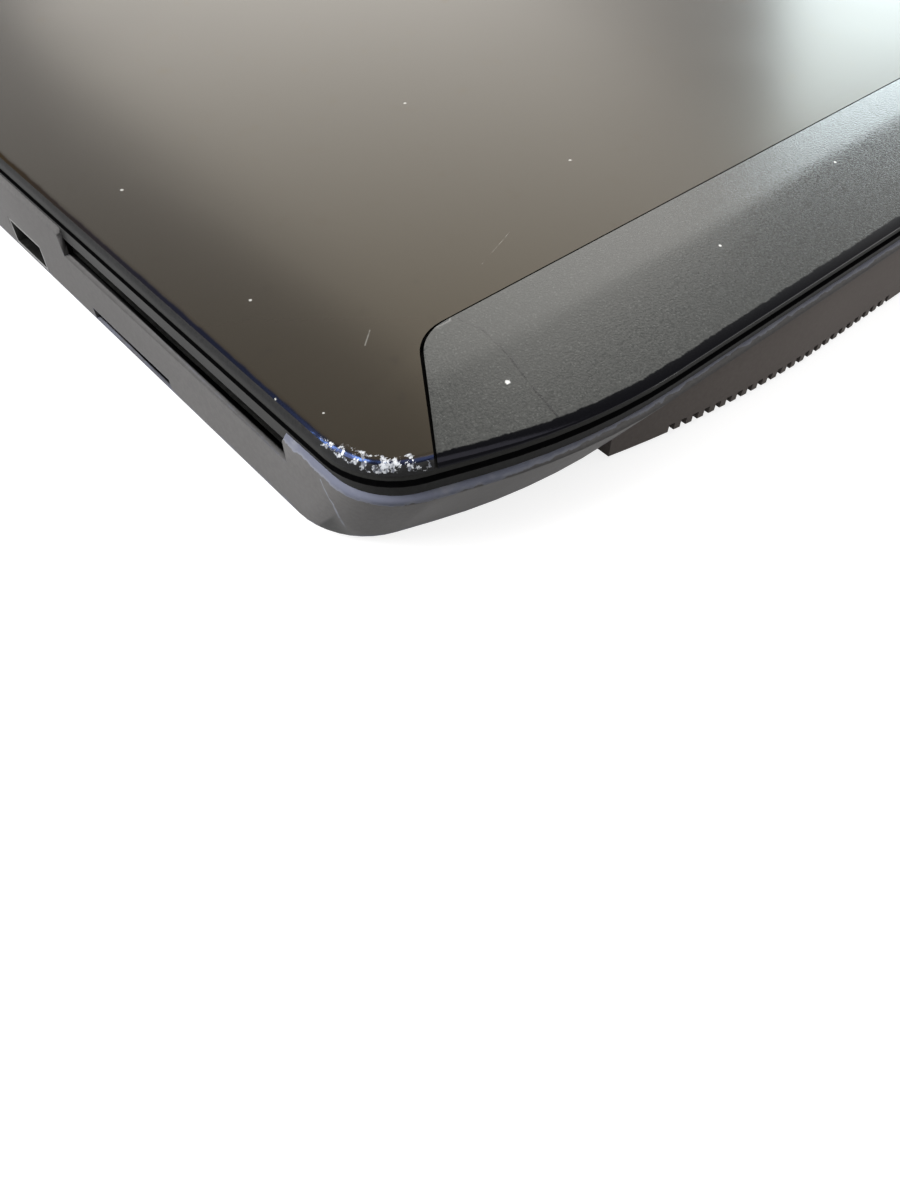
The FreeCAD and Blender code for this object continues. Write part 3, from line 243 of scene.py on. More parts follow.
def makeChips():  # paint knocked off in flecks where the mask given is high
    tree, given, result = startGroup(
        "paintChips", [("near", "Float", 0.0), ("scale", "Float", 1000.0)], ["chip", "tone"])
    look = effectLook
    where = place(tree)
    rough = cloud(tree, stretch(tree, where, look["chipStretch"], look["chipTurn"]), given["scale"], 6.0, 0.72)
    tree.links.new(fade(tree, calc(tree, 'MULTIPLY', rough, given["near"]), *look["chipRange"]), result["chip"])
    patches = cloud(tree, where, calc(tree, 'MULTIPLY', given["scale"], look["toneScale"]), 2.0)
    tree.links.new(fade(tree, patches, *look["toneRange"]), result["tone"])
    return tree


fineGrain = makeGrain()
brushLines = makeBrush()
handSmudge = makeSmudge()
edgeRub = makeEdge()
scratchLine = makeLine()
ragSpot = makeSpot()
paintChips = makeChips()
print("shared effects ready")


def startMaterial(name):
    material = bpy.data.materials.new(name)
    material.use_nodes = True
    return material, material.node_tree, material.node_tree.nodes["Principled BSDF"]


def addRelief(tree, surface, height, strength, depth):
    bump = put(tree, "Bump")
    bump.inputs["Strength"].default_value = strength
    bump.inputs["Distance"].default_value = depth
    feed(tree, bump.inputs["Height"], height)
    tree.links.new(bump.outputs[0], surface.inputs["Normal"])


def points(values):  # from mm to metres
    return tuple(value * mm for value in values)


def scratchMark(tree, start, end, width):
    return useGroup(tree, scratchLine, start=points(start), end=points(end), width=width * mm)["mark"]


def speckMark(tree, centre, radius):
    return useGroup(tree, ragSpot, centre=points(centre), radius=radius * mm)["mark"]


# finishes of the lid, with all places, widths and heights in mm

lidLook = {
    "plate": (0.0155, 0.0128, 0.0105), "haze": (0.018, 0.0152, 0.0128), "edge": (0.0085, 0.011, 0.024),
    "bare": (0.55, 0.57, 0.60), "dullBare": (0.15, 0.16, 0.19), "blueGlint": (0.035, 0.06, 0.15),
    "brushed": (0.05, 0.045, 0.039), "pale": (0.42, 0.42, 0.40), "pit": (0.004, 0.004, 0.004),
    "roughness": 0.19, "specular": 0.28, "specularTint": (1.0, 0.80, 0.46, 1.0),
    "smudgeRough": 0.05, "brushRough": 0.02, "bareRough": 0.15, "bareDull": 0.6,
    "smudgeScale": 9.0, "chipScale": 1050.0, "brushShare": 0.03, "scratchShare": 0.3,
    "rollTop": 24.38, "rollLow": 24.22,  # heights between which the plate turns into its dark edge
    "rollWander": 0.2, "rollScale": 240.0,
    "chipDepth": 0.8, "brushDepth": 0.003, "reliefShare": 0.35, "relief": 0.08,
    "chips": [
        ((-169.1, -98.5, 24.0), (-168.3, -102.0, 24.1), 1.1), ((-168.3, -102.0, 24.1), (-166.8, -105.8, 24.0), 2.2),
        ((-166.8, -105.8, 24.0), (-164.6, -107.9, 24.0), 2.3), ((-164.4, -107.8, 24.2), (-162.6, -108.6, 24.3), 1.4),
        ((-163.0, -109.6, 23.7), (-161.6, -110.3, 23.3), 1.7), ((-167.6, -105.4, 23.2), (-165.0, -108.4, 23.1), 1.2),
    ],
    # painted highlight: thin bluish glint lines along the rolled edge near the corner
    "glintStreak": [
        ((-169.4, -92.0, 23.9), (-168.9, -99.5, 24.0), 0.24), ((-168.9, -99.5, 24.0), (-167.4, -104.8, 24.0), 0.34),
        ((-167.4, -104.8, 24.0), (-165.2, -107.5, 24.0), 0.34),
    ],
    "specks": [
        ((-158.8, -30.3, 24.4), 0.36), ((-159.6, -68.9, 24.4), 0.30), ((-104.2, -37.0, 24.4), 0.34),
        ((-95.7, -71.1, 24.4), 0.34), ((-169.0, -88.6, 24.1), 0.24), ((-166.0, -95.2, 24.4), 0.22),
    ],
    "pits": [((-138.4, -80.9, 24.4), 0.45)],
    "scratches": [
        ((-150.8, -85.6, 24.4), (-153.4, -87.8, 24.4), 0.14), ((-128.0, -84.0, 24.4), (-119.0, -80.5, 24.4), 0.08),
    ],
}


def knockedOff(tree):  # ragged flecks along the lid's corner, and their colour
    near = 0.0
    for chip in lidLook["chips"]:
        near = calc(tree, 'MAXIMUM', near, scratchMark(tree, *chip))
    rough = useGroup(tree, paintChips, scale=lidLook["chipScale"], near=near)
    return rough["chip"], tint(tree, rough["tone"], lidLook["dullBare"], lidLook["bare"])


def lidMetal():
    look = lidLook
    material, tree, surface = startMaterial("lidMetal")
    smudge = useGroup(tree, handSmudge, scale=look["smudgeScale"])["smudge"]
    lines = useGroup(tree, brushLines, scale=1.0)["lines"]
    colour = tint(tree, smudge, look["plate"], look["haze"])
    colour = tint(tree, calc(tree, 'MULTIPLY', lines, look["brushShare"]), colour, look["brushed"])
    reach = look["rollWander"] * mm
    wander = calc(tree, 'MULTIPLY_ADD', cloud(tree, place(tree), look["rollScale"], 3.0), reach, -reach / 2)
    high = calc(tree, 'ADD', axesOf(tree, place(tree))[2], wander)
    rolled = fade(tree, high, look["rollTop"] * mm, look["rollLow"] * mm)
    colour = tint(tree, rolled, colour, look["edge"])
    # painted highlight: a bluish glint drawn along the rolled edge
    for line in look["glintStreak"]:
        colour = tint(tree, scratchMark(tree, *line), colour, look["blueGlint"])
    bare, fleck = knockedOff(tree)
    colour = tint(tree, bare, colour, fleck)
    marks = 0.0
    for speck in look["specks"]:
        marks = calc(tree, 'MAXIMUM', marks, speckMark(tree, *speck))
    for line in look["scratches"]:
        mark = calc(tree, 'MULTIPLY', scratchMark(tree, *line), look["scratchShare"])
        marks = calc(tree, 'MAXIMUM', marks, mark)
    colour = tint(tree, marks, colour, look["pale"])
    for speck in look["pits"]:
        colour = tint(tree, speckMark(tree, *speck), colour, look["pit"])
    feed(tree, surface.inputs["Base Color"], colour)
    gloss = calc(tree, 'MULTIPLY_ADD', smudge, look["smudgeRough"], look["roughness"])
    gloss = calc(tree, 'MULTIPLY_ADD', lines, look["brushRough"], gloss)
    feed(tree, surface.inputs["Roughness"], calc(tree, 'MULTIPLY_ADD', bare, look["bareRough"], gloss))
    metal = calc(tree, 'SUBTRACT', rolled, calc(tree, 'MULTIPLY', bare, look["bareDull"]), clamp=True)
    feed(tree, surface.inputs["Metallic"], metal)
    surface.inputs["Specular IOR Level"].default_value = look["specular"]
    surface.inputs["Specular Tint"].default_value = look["specularTint"]
    relief = calc(tree, 'SUBTRACT', calc(tree, 'MULTIPLY', lines, look["brushDepth"]),
                  calc(tree, 'MULTIPLY', bare, look["chipDepth"]))
    addRelief(tree, surface, relief, look["reliefShare"], look["relief"] * mm)
    return material


stripLook = {
    "plastic": (0.0225, 0.0236, 0.0215), "grain": (0.0375, 0.0388, 0.0358), "spark": (0.16, 0.165, 0.155),
    "worn": (0.006, 0.006, 0.0075), "scored": (0.008, 0.008, 0.008), "chalk": (0.7, 0.7, 0.68),
    "roughness": 0.155, "mottleRough": 0.10, "specular": 0.42,
    "grainScale": 2700.0, "mottleRange": (0.36, 0.66), "smudgeScale": 26.0,
    "sparkShare": 0.22, "smudgeShare": 0.25, "scratchShare": 0.9, "reliefShare": 0.13, "relief": 0.06,
    "band": 1.7, "bandRag": 1.1, "bandSoft": 0.15, "bandScale": 330.0,  # the dark front edge and its ragged border
    "scratches": [
        ((-139.6, -91.6, 24.4), (-138.8, -96.0, 24.3), 0.22), ((-138.8, -96.0, 24.3), (-139.6, -101.4, 24.2), 0.28),
        ((-139.6, -101.4, 24.1), (-141.4, -109.1, 23.6), 0.27),
        ((-141.4, -109.1, 23.6), (-142.6, -115.0, 23.2), 0.26),
        ((-152.7, -101.2, 24.1), (-150.1, -100.8, 24.1), 0.24),
    ],
    "specks": [((-143.3, -105.8, 23.8), 0.50), ((-96.0, -104.0, 24.1), 0.3), ((-61.0, -101.0, 24.2), 0.3)],
}


def stripPlastic():
    look = stripLook
    material, tree, surface = startMaterial("stripPlastic")
    grain = useGroup(tree, fineGrain, scale=look["grainScale"])
    smudge = useGroup(tree, handSmudge, scale=look["smudgeScale"])["smudge"]
    mottle = fade(tree, grain["mottle"], *look["mottleRange"])
    colour = tint(tree, mottle, look["plastic"], look["grain"])
    colour = tint(tree, calc(tree, 'MULTIPLY', grain["sparkle"], look["sparkShare"]), colour, look["spark"])
    colour = tint(tree, calc(tree, 'MULTIPLY', smudge, look["smudgeShare"]), colour, look["plastic"])
    for line in look["scratches"]:
        mark = calc(tree, 'MULTIPLY', scratchMark(tree, *line), look["scratchShare"])
        colour = tint(tree, mark, colour, look["scored"])
    for speck in look["specks"]:
        colour = tint(tree, speckMark(tree, *speck), colour, look["chalk"])
    toEdge = put(tree, "Attribute", attribute_name="edgeDistance").outputs["Fac"]
    rag = cloud(tree, place(tree), look["bandScale"], 4.0, 0.7)
    limit = calc(tree, 'MULTIPLY_ADD', rag, look["bandRag"] * mm, (look["band"] - look["bandRag"] / 2) * mm)
    worn = fade(tree, calc(tree, 'SUBTRACT', toEdge, limit), look["bandSoft"] * mm, -look["bandSoft"] * mm)
    colour = tint(tree, worn, colour, look["worn"])
    feed(tree, surface.inputs["Base Color"], colour)
    even = look["roughness"] - look["mottleRough"] / 2
    feed(tree, surface.inputs["Roughness"], calc(tree, 'MULTIPLY_ADD', mottle, look["mottleRough"], even))
    feed(tree, surface.inputs["Metallic"], worn)
    surface.inputs["Specular IOR Level"].default_value = look["specular"]
    relief = calc(tree, 'MULTIPLY', mottle, calc(tree, 'SUBTRACT', 1.0, worn))
    addRelief(tree, surface, relief, look["reliefShare"], look["relief"] * mm)
    return material


# finishes of the base, with all places, widths and heights in mm

caseLook = {
    "paint": (0.138, 0.135, 0.134), "mottle": (0.16, 0.156, 0.155), "primer": (0.17, 0.182, 0.24),
    # inner: near black for the seams underneath and, as painted shade, for the insides of the openings
    "bare": (0.26, 0.27, 0.31), "grime": (0.045, 0.042, 0.04), "inner": (0.006, 0.006, 0.006),
    "under": (0.05, 0.049, 0.049), "roughness": 0.50, "mottleRough": 0.14, "wornRough": -0.10, "specular": 0.02,
    "grainScale": 1300.0, "mottleRange": (0.3, 0.7), "smudgeScale": 18.0, "smudgeShare": 0.22,
    "rubRadius": 0.5, "rubShare": 0.55, "rubScale": 420.0,
    "reliefShare": 0.25, "relief": 0.06, "grainDepth": 0.5,
    "lipTop": 17.6, "lipLeast": 0.45, "lipWidth": 0.7, "lipRag": 1.3,  # worn shoulder, measured down from its top
    "lipSoft": 0.12, "lipBorder": 0.42, "lipStart": (-84.0, -88.5),  # the wear starts in front of the card slot
    "lipScale": 330.0, "lipShare": (0.25, 0.70), "borderShare": 0.7,
    "primerScale": 300.0, "primerRange": (0.52, 0.80),
    "corner": (-164.0, -106.0, 17.0), "cornerReach": (34.0, 4.0),
    "footEdge": (3.5, 2.6), "footRag": 1.6, "footScale": 300.0, "footShare": 0.7,  # lower edge, rubbed pale
    "hatches": [(0.0, -55.0, 92.0, 30.0), (70.0, 36.0, 44.0, 32.0)],  # seams underneath: middle and half size
    "hatchRound": 4.0, "seam": (0.45, 0.25), "underShare": 0.55, "underTurn": (-0.80, -0.97),
    "slotSide": (168.2, 167.9), "slotEnd": (100.0, 96.0), "slotFloor": (1.3, 1.6),  # painted shade: the insides of the openings and of the case, darkened as if in shadow
    "scratchShare": 0.9, "darkShare": 0.5,
    "scratches": [
        ((-169.0, -97.3, 15.8), (-168.6, -98.8, 12.0), 0.30), ((-168.6, -98.8, 12.0), (-166.4, -98.2, 3.5), 0.28),
        ((-169.1, -78.0, 9.0), (-169.0, -84.0, 4.5), 0.16),
    ],
    "darkScratches": [((-169.1, -90.0, 8.5), (-169.1, -91.5, 6.4), 0.3)],
}


def shoulderWear(tree, axes, where):  # rubbed through most at the front corners
    look = caseLook
    mirror = put(tree, "CombineXYZ")
    feed(tree, mirror.inputs[0], calc(tree, 'MULTIPLY', calc(tree, 'ABSOLUTE', axes[0]), -1.0))
    feed(tree, mirror.inputs[1], axes[1])
    feed(tree, mirror.inputs[2], axes[2])
    toCorner = vector(tree, 'DISTANCE', mirror.outputs[0], points(look["corner"]), out=1)
    near = fade(tree, toCorner, *points(look["cornerReach"]))
    rag = calc(tree, 'SUBTRACT', cloud(tree, where, look["lipScale"], 4.0, 0.6), 0.5)
    width = calc(tree, 'MULTIPLY_ADD', near, look["lipWidth"] * mm, look["lipLeast"] * mm)
    depth = calc(tree, 'MULTIPLY_ADD', rag, look["lipRag"] * mm, width)
    within = calc(tree, 'SUBTRACT', depth, calc(tree, 'SUBTRACT', look["lipTop"] * mm, axes[2]))
    forward = fade(tree, axes[1], *points(look["lipStart"]))
    worn = calc(tree, 'MULTIPLY', fade(tree, within, 0.0, look["lipSoft"] * mm), forward)
    patches = fade(tree, cloud(tree, where, look["primerScale"], 3.0), *look["primerRange"])
    primer = tint(tree, patches, look["primer"], look["bare"])
    border = fade(tree, within, look["lipBorder"] * mm, look["lipSoft"] * mm)
    primer = tint(tree, calc(tree, 'MULTIPLY', border, look["borderShare"]), primer, look["bare"])
    share = calc(tree, 'MULTIPLY', worn, calc(tree, 'MULTIPLY_ADD', near, *look["lipShare"]))
    return worn, share, primer


def hatchSeams(tree, axes):
    look = caseLook
    seams = 0.0
    for x, y, halfX, halfY in look["hatches"]:
        out = []
        for axis, middle, half in ((axes[0], x, halfX), (axes[1], y, halfY)):
            off = calc(tree, 'ABSOLUTE', calc(tree, 'SUBTRACT', axis, middle * mm))
            out.append(calc(tree, 'SUBTRACT', off, half * mm))
        away = calc(tree, 'ABSOLUTE', calc(tree, 'SMOOTH_MAX', *out, look["hatchRound"] * mm))
        seams = calc(tree, 'MAXIMUM', seams, fade(tree, away, *points(look["seam"])))
    return seams


# painted shade: 1 inside the side walls, away from the front and rear ends and above the floor, where the case lies in
# shadow
def shadedInsides(tree, axes):
    look = caseLook
    side = fade(tree, calc(tree, 'ABSOLUTE', axes[0]), *points(look["slotSide"]))
    end = fade(tree, calc(tree, 'ABSOLUTE', axes[1]), *points(look["slotEnd"]))
    above = fade(tree, axes[2], *points(look["slotFloor"]))
    return calc(tree, 'MULTIPLY', calc(tree, 'MULTIPLY', side, end), above)


def casePlastic():
    look = caseLook
    material, tree, surface = startMaterial("casePlastic")
    grain = useGroup(tree, fineGrain, scale=look["grainScale"])
    smudge = useGroup(tree, handSmudge, scale=look["smudgeScale"])["smudge"]
    where = place(tree)
    axes = axesOf(tree, where)
    colour = tint(tree, fade(tree, grain["mottle"], *look["mottleRange"]), look["paint"], look["mottle"])
    colour = tint(tree, calc(tree, 'MULTIPLY', smudge, look["smudgeShare"]), colour, look["grime"])
    rub = useGroup(tree, edgeRub, radius=look["rubRadius"] * mm, amount=look["rubShare"], scale=look["rubScale"])
    colour = tint(tree, rub["rub"], colour, look["primer"])
    worn, wornShare, primer = shoulderWear(tree, axes, where)
    colour = tint(tree, wornShare, colour, primer)
    rag = calc(tree, 'MULTIPLY', cloud(tree, where, look["footScale"], 3.0), look["footRag"] * mm)
    foot = fade(tree, calc(tree, 'ADD', axes[2], rag), *points(look["footEdge"]))
    normal = put(tree, "NewGeometry").outputs["Normal"]
    down = fade(tree, axesOf(tree, normal)[2], *look["underTurn"])  # 1 on the underside
    foot = calc(tree, 'MULTIPLY', foot, calc(tree, 'SUBTRACT', 1.0, down))
    colour = tint(tree, calc(tree, 'MULTIPLY', foot, look["footShare"]), colour, look["primer"])
    colour = tint(tree, calc(tree, 'MULTIPLY', down, look["underShare"]), colour, look["under"])
    seams = calc(tree, 'MULTIPLY', hatchSeams(tree, axes), down)
    colour = tint(tree, seams, colour, look["inner"])
    for lines, share, tone in (("scratches", "scratchShare", "bare"), ("darkScratches", "darkShare", "grime")):
        for line in look[lines]:
            mark = calc(tree, 'MULTIPLY', scratchMark(tree, *line), look[share])
            colour = tint(tree, mark, colour, look[tone])
    # painted shade: the insides are made near black and metallic, as if in shadow
    inside = shadedInsides(tree, axes)
    colour = tint(tree, inside, colour, look["inner"])
    feed(tree, surface.inputs["Base Color"], colour)
    feed(tree, surface.inputs["Metallic"], inside)
    even = look["roughness"] - look["mottleRough"] / 2
    gloss = calc(tree, 'MULTIPLY_ADD', grain["mottle"], look["mottleRough"], even)
    feed(tree, surface.inputs["Roughness"], calc(tree, 'MULTIPLY_ADD', worn, look["wornRough"], gloss))
    surface.inputs["Specular IOR Level"].default_value = look["specular"]
    relief = calc(tree, 'SUBTRACT', calc(tree, 'MULTIPLY', grain["mottle"], look["grainDepth"]),
                  calc(tree, 'MAXIMUM', worn, seams))
    addRelief(tree, surface, relief, look["reliefShare"], look["relief"] * mm)
    return material


# plainer finishes: two colours, roughness, metal share, specular, grain scale, relief in mm, rub colour and share
plainLooks = {
    "rimPlastic": (
        (0.025, 0.025, 0.024), (0.031, 0.031, 0.03), 0.48, 0.0, 0.03, 1500.0, 0.03, (0.09, 0.09, 0.10), 0.25),
    "deckMetal": (
        (0.02, 0.02, 0.0197), (0.026, 0.026, 0.0255), 0.40, 0.0, 0.06, 1400.0, 0.03, (0.10, 0.10, 0.11), 0.35),
    "lidSkirt": (
        (0.021, 0.021, 0.0215), (0.028, 0.028, 0.0285), 0.46, 0.0, 0.03, 1500.0, 0.02, (0.09, 0.09, 0.11), 0.3),
    # painted shadow: near black for the band that stands for the shade in the gap under the lid
    "gapShadeBlack": (
        (0.0022, 0.0022, 0.0024), (0.0034, 0.0034, 0.0036), 0.70, 0.0, 0.0, 1500.0, 0.02, (0.01, 0.01, 0.01), 0.1),
    "chinPlastic": (
        (0.135, 0.12, 0.112), (0.15, 0.134, 0.125), 0.50, 0.0, 0.02, 1500.0, 0.03, (0.17, 0.18, 0.24), 0.2),
    "screen": ((0.004, 0.004, 0.005), (0.006, 0.006, 0.007), 0.24, 0.0, 0.5, 2600.0, 0.008, (0.01, 0.01, 0.01), 0.0),
    "lens": ((0.006, 0.006, 0.01), (0.01, 0.009, 0.016), 0.08, 0.0, 0.7, 800.0, 0.004, (0.02, 0.02, 0.03), 0.0),
    "keyPlastic": (
        (0.01, 0.01, 0.0105), (0.016, 0.016, 0.0165), 0.50, 0.0, 0.35, 1900.0, 0.03, (0.03, 0.03, 0.03), 0.25),
    "blackPlastic": ((0.01, 0.01, 0.01), (0.018, 0.018, 0.018), 0.52, 0.0, 0.35, 1500.0, 0.04, (0.05, 0.05, 0.05), 0.3),
    "padSurface": ((0.028, 0.028, 0.028), (0.036, 0.036, 0.036), 0.4, 0.0, 0.35, 2400.0, 0.02, (0.09, 0.09, 0.09), 0.3),
    "lightPipe": ((0.55, 0.60, 0.56), (0.66, 0.70, 0.66), 0.22, 0.0, 0.5, 900.0, 0.01, (0.7, 0.7, 0.7), 0.0),
    "rubber": ((0.014, 0.014, 0.014), (0.024, 0.024, 0.023), 0.78, 0.0, 0.25, 1100.0, 0.06, (0.06, 0.06, 0.06), 0.4),
    "steel": ((0.46, 0.46, 0.47), (0.56, 0.56, 0.57), 0.34, 1.0, 0.5, 900.0, 0.02, (0.7, 0.7, 0.7), 0.4),
    # plated: metal colours lowered partly as painted shade, since the port shells sit in shadow
    "plated": ((0.12, 0.12, 0.115), (0.16, 0.16, 0.155), 0.32, 1.0, 0.5, 700.0, 0.02, (0.30, 0.30, 0.29), 0.3),
    "copper": ((0.62, 0.33, 0.20), (0.72, 0.42, 0.27), 0.32, 1.0, 0.5, 600.0, 0.02, (0.8, 0.5, 0.35), 0.3),
    "board": ((0.012, 0.07, 0.034), (0.02, 0.10, 0.05), 0.40, 0.0, 0.5, 500.0, 0.04, (0.06, 0.16, 0.09), 0.2),
    "cellWrap": ((0.018, 0.018, 0.02), (0.026, 0.026, 0.029), 0.45, 0.0, 0.4, 500.0, 0.04, (0.06, 0.06, 0.06), 0.2),
    "foil": ((0.62, 0.46, 0.26), (0.70, 0.55, 0.34), 0.30, 1.0, 0.5, 900.0, 0.02, (0.8, 0.7, 0.5), 0.2),
}
plainWear = {
    "mottleRange": (0.3, 0.7), "mottleRough": 0.10, "smudgeScale": 24.0, "smudgeShare": 0.35, "smudgeRough": 0.06,
    "rubRadius": 0.3, "rubScale": 500.0, "reliefShare": 0.4,
}


def plainFinish(name):
    first, second, rough, metal, specular, scale, depth, rubbed, share = plainLooks[name]
    wear = plainWear
    material, tree, surface = startMaterial(name)
    grain = useGroup(tree, fineGrain, scale=scale)
    smudge = useGroup(tree, handSmudge, scale=wear["smudgeScale"])["smudge"]
    colour = tint(tree, fade(tree, grain["mottle"], *wear["mottleRange"]), first, second)
    colour = tint(tree, calc(tree, 'MULTIPLY', smudge, wear["smudgeShare"]), colour, first)
    if share > 0:
        rub = useGroup(tree, edgeRub, radius=wear["rubRadius"] * mm, amount=share, scale=wear["rubScale"])["rub"]
        colour = tint(tree, rub, colour, rubbed)
    feed(tree, surface.inputs["Base Color"], colour)
    gloss = calc(tree, 'MULTIPLY_ADD', grain["mottle"], wear["mottleRough"], rough - wear["mottleRough"] / 2)
    feed(tree, surface.inputs["Roughness"], calc(tree, 'MULTIPLY_ADD', smudge, wear["smudgeRough"], gloss))
    surface.inputs["Metallic"].default_value = metal
    surface.inputs["Specular IOR Level"].default_value = specular
    addRelief(tree, surface, grain["mottle"], wear["reliefShare"], depth * mm)
    return material


def skirtFinish():  # the plate's side, with the same chips as the plate
    material = plainFinish("lidSkirt")
    tree = material.node_tree
    surface = tree.nodes["Principled BSDF"]
    before = surface.inputs["Base Color"].links[0].from_socket
    bare, fleck = knockedOff(tree)
    feed(tree, surface.inputs["Base Color"], tint(tree, bare, before, fleck))
    return material


slotFinish = {
    "lid_metal": lidMetal(), "strip_plastic": stripPlastic(), "case_plastic": casePlastic(),
    "rim_plastic": plainFinish("rimPlastic"), "deck_metal": plainFinish("deckMetal"), "screen": plainFinish("screen"),
    "lens": plainFinish("lens"), "key_plastic": plainFinish("keyPlastic"),
    "black_plastic": plainFinish("blackPlastic"), "pad_surface": plainFinish("padSurface"),
    "light_pipe": plainFinish("lightPipe"), "rubber": plainFinish("rubber"), "steel": plainFinish("steel"),
    "plated": plainFinish("plated"), "copper": plainFinish("copper"), "board": plainFinish("board"),
    "cell_wrap": plainFinish("cellWrap"), "foil": plainFinish("foil"),
}
nodeSlot = {piece["node"]: piece["material_slot"] for piece in record["subparts"]}
for name, slotName in nodeSlot.items():
    mesh = cadNodes[name].data
    mesh.materials.clear()
    mesh.materials.append(slotFinish[slotName])
print("finishes assigned to", len(nodeSlot), "nodes")


# pieces that stand for plain solids, with their sizes in mm and their sharp angles in degrees

def wholeCopy(name):  # the node's solid with its corners joined again
    shape = bmesh.new()
    shape.from_mesh(cadNodes[name].data)
    bmesh.ops.remove_doubles(shape, verts=shape.verts, dist=1e-6)
    return shape


def cutAt(shape, spot, facing):
    parts = shape.verts[:] + shape.edges[:] + shape.faces[:]
    bmesh.ops.bisect_plane(shape, geom=parts, plane_co=spot, plane_no=facing)


def islandBoxes(name):  # one box for each separate solid of a node
    shape = wholeCopy(name)
    left = set(shape.verts)
    boxes = []
    while left:
        pile = [left.pop()]
        found = []
        while pile:
            vert = pile.pop()
            found.append(vert.co.copy())
            for edge in vert.link_edges:
                other = edge.other_vert(vert)
                if other in left:
                    left.remove(other)
                    pile.append(other)
        low = Vector(min(co[i] for co in found) for i in range(3))
        high = Vector(max(co[i] for co in found) for i in range(3))
        boxes.append((low, high))
    shape.free()
    return boxes


def addPiece(name, shape, body, node, sharp, finish=None, stands=True):
    mesh = bpy.data.meshes.new(name)
    shape.to_mesh(mesh)
    shape.free()
    for face in mesh.polygons:
        face.use_smooth = True
    mesh.set_sharp_from_angle(angle=math.radians(sharp))
    piece = bpy.data.objects.new(name, mesh)
    scene.collection.objects.link(piece)
    mesh.materials.append(finish or slotFinish[nodeSlot[node]])
    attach(piece, body)
    if stands:
        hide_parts(node)
    return piece


# lid sides: the plate's dark skirt, and a black band on the bezel's lower outer side as painted shadow of the gap
# between lid and base
lidSplit = {"skirtTop": 23.95, "gapShadeTop": 21.45, "gapShadeLift": 0.03, "gapShadeLean": 0.3, "sharp": 30.0}


def splitCopy(name, height, low):  # the part of a node's skin above or below a height
    shape = wholeCopy(name)
    cutAt(shape, (0, 0, height * mm), (0, 0, 1))
    shape.normal_update()
    drop = [face for face in shape.faces if (face.calc_center_median().z < height * mm) != low]
    bmesh.ops.delete(shape, geom=drop, context='FACES')
    return shape


def buildGapShade():
    # painted shadow: the bezel's lower outer side, pushed out a little and made black as the shade in the gap under the
    # lid
    give = lidSplit
    gapShade = splitCopy("display_bezel", give["gapShadeTop"], True)
    drop = [face for face in gapShade.faces
            if abs(face.normal.z) > give["gapShadeLean"] or face.normal.dot(face.calc_center_median()) < 0]
    bmesh.ops.delete(gapShade, geom=drop, context='FACES')
    away = {vert: vert.normal.copy() for vert in gapShade.verts}
    for vert, facing in away.items():
        vert.co += Vector((facing.x, facing.y, 0)).normalized() * give["gapShadeLift"] * mm
    addPiece("lidGapShade", gapShade, "lid", "display_bezel", give["sharp"], plainFinish("gapShadeBlack"), False)


plateShape = splitCopy("lid_cover", lidSplit["skirtTop"], False)
addPiece("lidPlate", plateShape, "lid", "lid_cover", lidSplit["sharp"])
skirtShape = splitCopy("lid_cover", lidSplit["skirtTop"], True)
addPiece("lidSkirt", skirtShape, "lid", "lid_cover", lidSplit["sharp"], skirtFinish())
buildGapShade()
print("lid sides split")

# lower case: the solid's skin with even shading over its rounded corners
shellShape = {"sharp": 42.0}
shell = addPiece("lowerShell", wholeCopy("bottom_cover"), "base", "bottom_cover", shellShape["sharp"])
evened = shell.modifiers.new("evened", 'WEIGHTED_NORMAL')
evened.keep_sharp = True
print("lower case shaded")

# antenna strip: flat along its inner edge, then rolling down towards the front of the lid
stripShape = {
    "frontY": -118.5, "innerY": -90.8, "halfWidth": 169.5,
    "sweepStart": 47.0, "sweepRadius": 96.0, "sweepAngle": 19.5,  # the lid's front edge near its ends
    "flat": 7.2, "bend": 3.0, "drop": 1.5, "cutY": 1.0, "cutX": 4.0, "sharp": 32.0,
}


def frontLine(x):  # y of the lid's front edge
    give = stripShape
    over = abs(x) - (give["halfWidth"] - give["sweepStart"])
    if over <= 0:
        return give["frontY"]
    lean = math.radians(give["sweepAngle"])
    limit = give["sweepRadius"] * math.sin(lean)
    if over <= limit:
        return give["frontY"] + give["sweepRadius"] - math.sqrt(give["sweepRadius"] ** 2 - over ** 2)
    return give["frontY"] + give["sweepRadius"] * (1 - math.cos(lean)) + (over - limit) * math.tan(lean)


def sinkStrip(name, piece):
    give = stripShape
    low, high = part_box("antenna_cover")
    shape = wholeCopy(name)
    for axis, step in ((1, give["cutY"]), (0, give["cutX"])):
        for i in range(1, int((high[axis] - low[axis]) / mm / step) + 1):
            spot = Vector((0, 0, 0))
            spot[axis] = low[axis] + i * step * mm
            cutAt(shape, spot, Vector((axis == 0, axis == 1, 0)))
    layer = shape.verts.layers.float.new("edgeDistance")
    room = give["innerY"] - give["flat"] - give["frontY"] - give["bend"] / 2
    for vert in shape.verts:
        x, y = vert.co.x / mm, vert.co.y / mm
        vert[layer] = (y - frontLine(x)) * mm
        run = max(0.0, give["innerY"] - give["flat"] - y)
        sunk = run * run / (2 * give["bend"]) if run < give["bend"] else run - give["bend"] / 2
        fall = give["drop"] * sunk / room  # flat, then a short bend, then an even slope
        vert.co.z -= fall * mm * (vert.co.z - low.z) / (high.z - low.z)
    addPiece(piece, shape, "lid", name, give["sharp"])


sinkStrip("antenna_cover", "stripCover")
sinkStrip("wifi_antennas", "stripFoils")
print("strip sculpted")

# the chin under the front edge, whose slots show only as notches
chinShape = {"slotTop": 5.7, "notchTop": 2.7, "reach": 0.05, "sharp": 2.0}


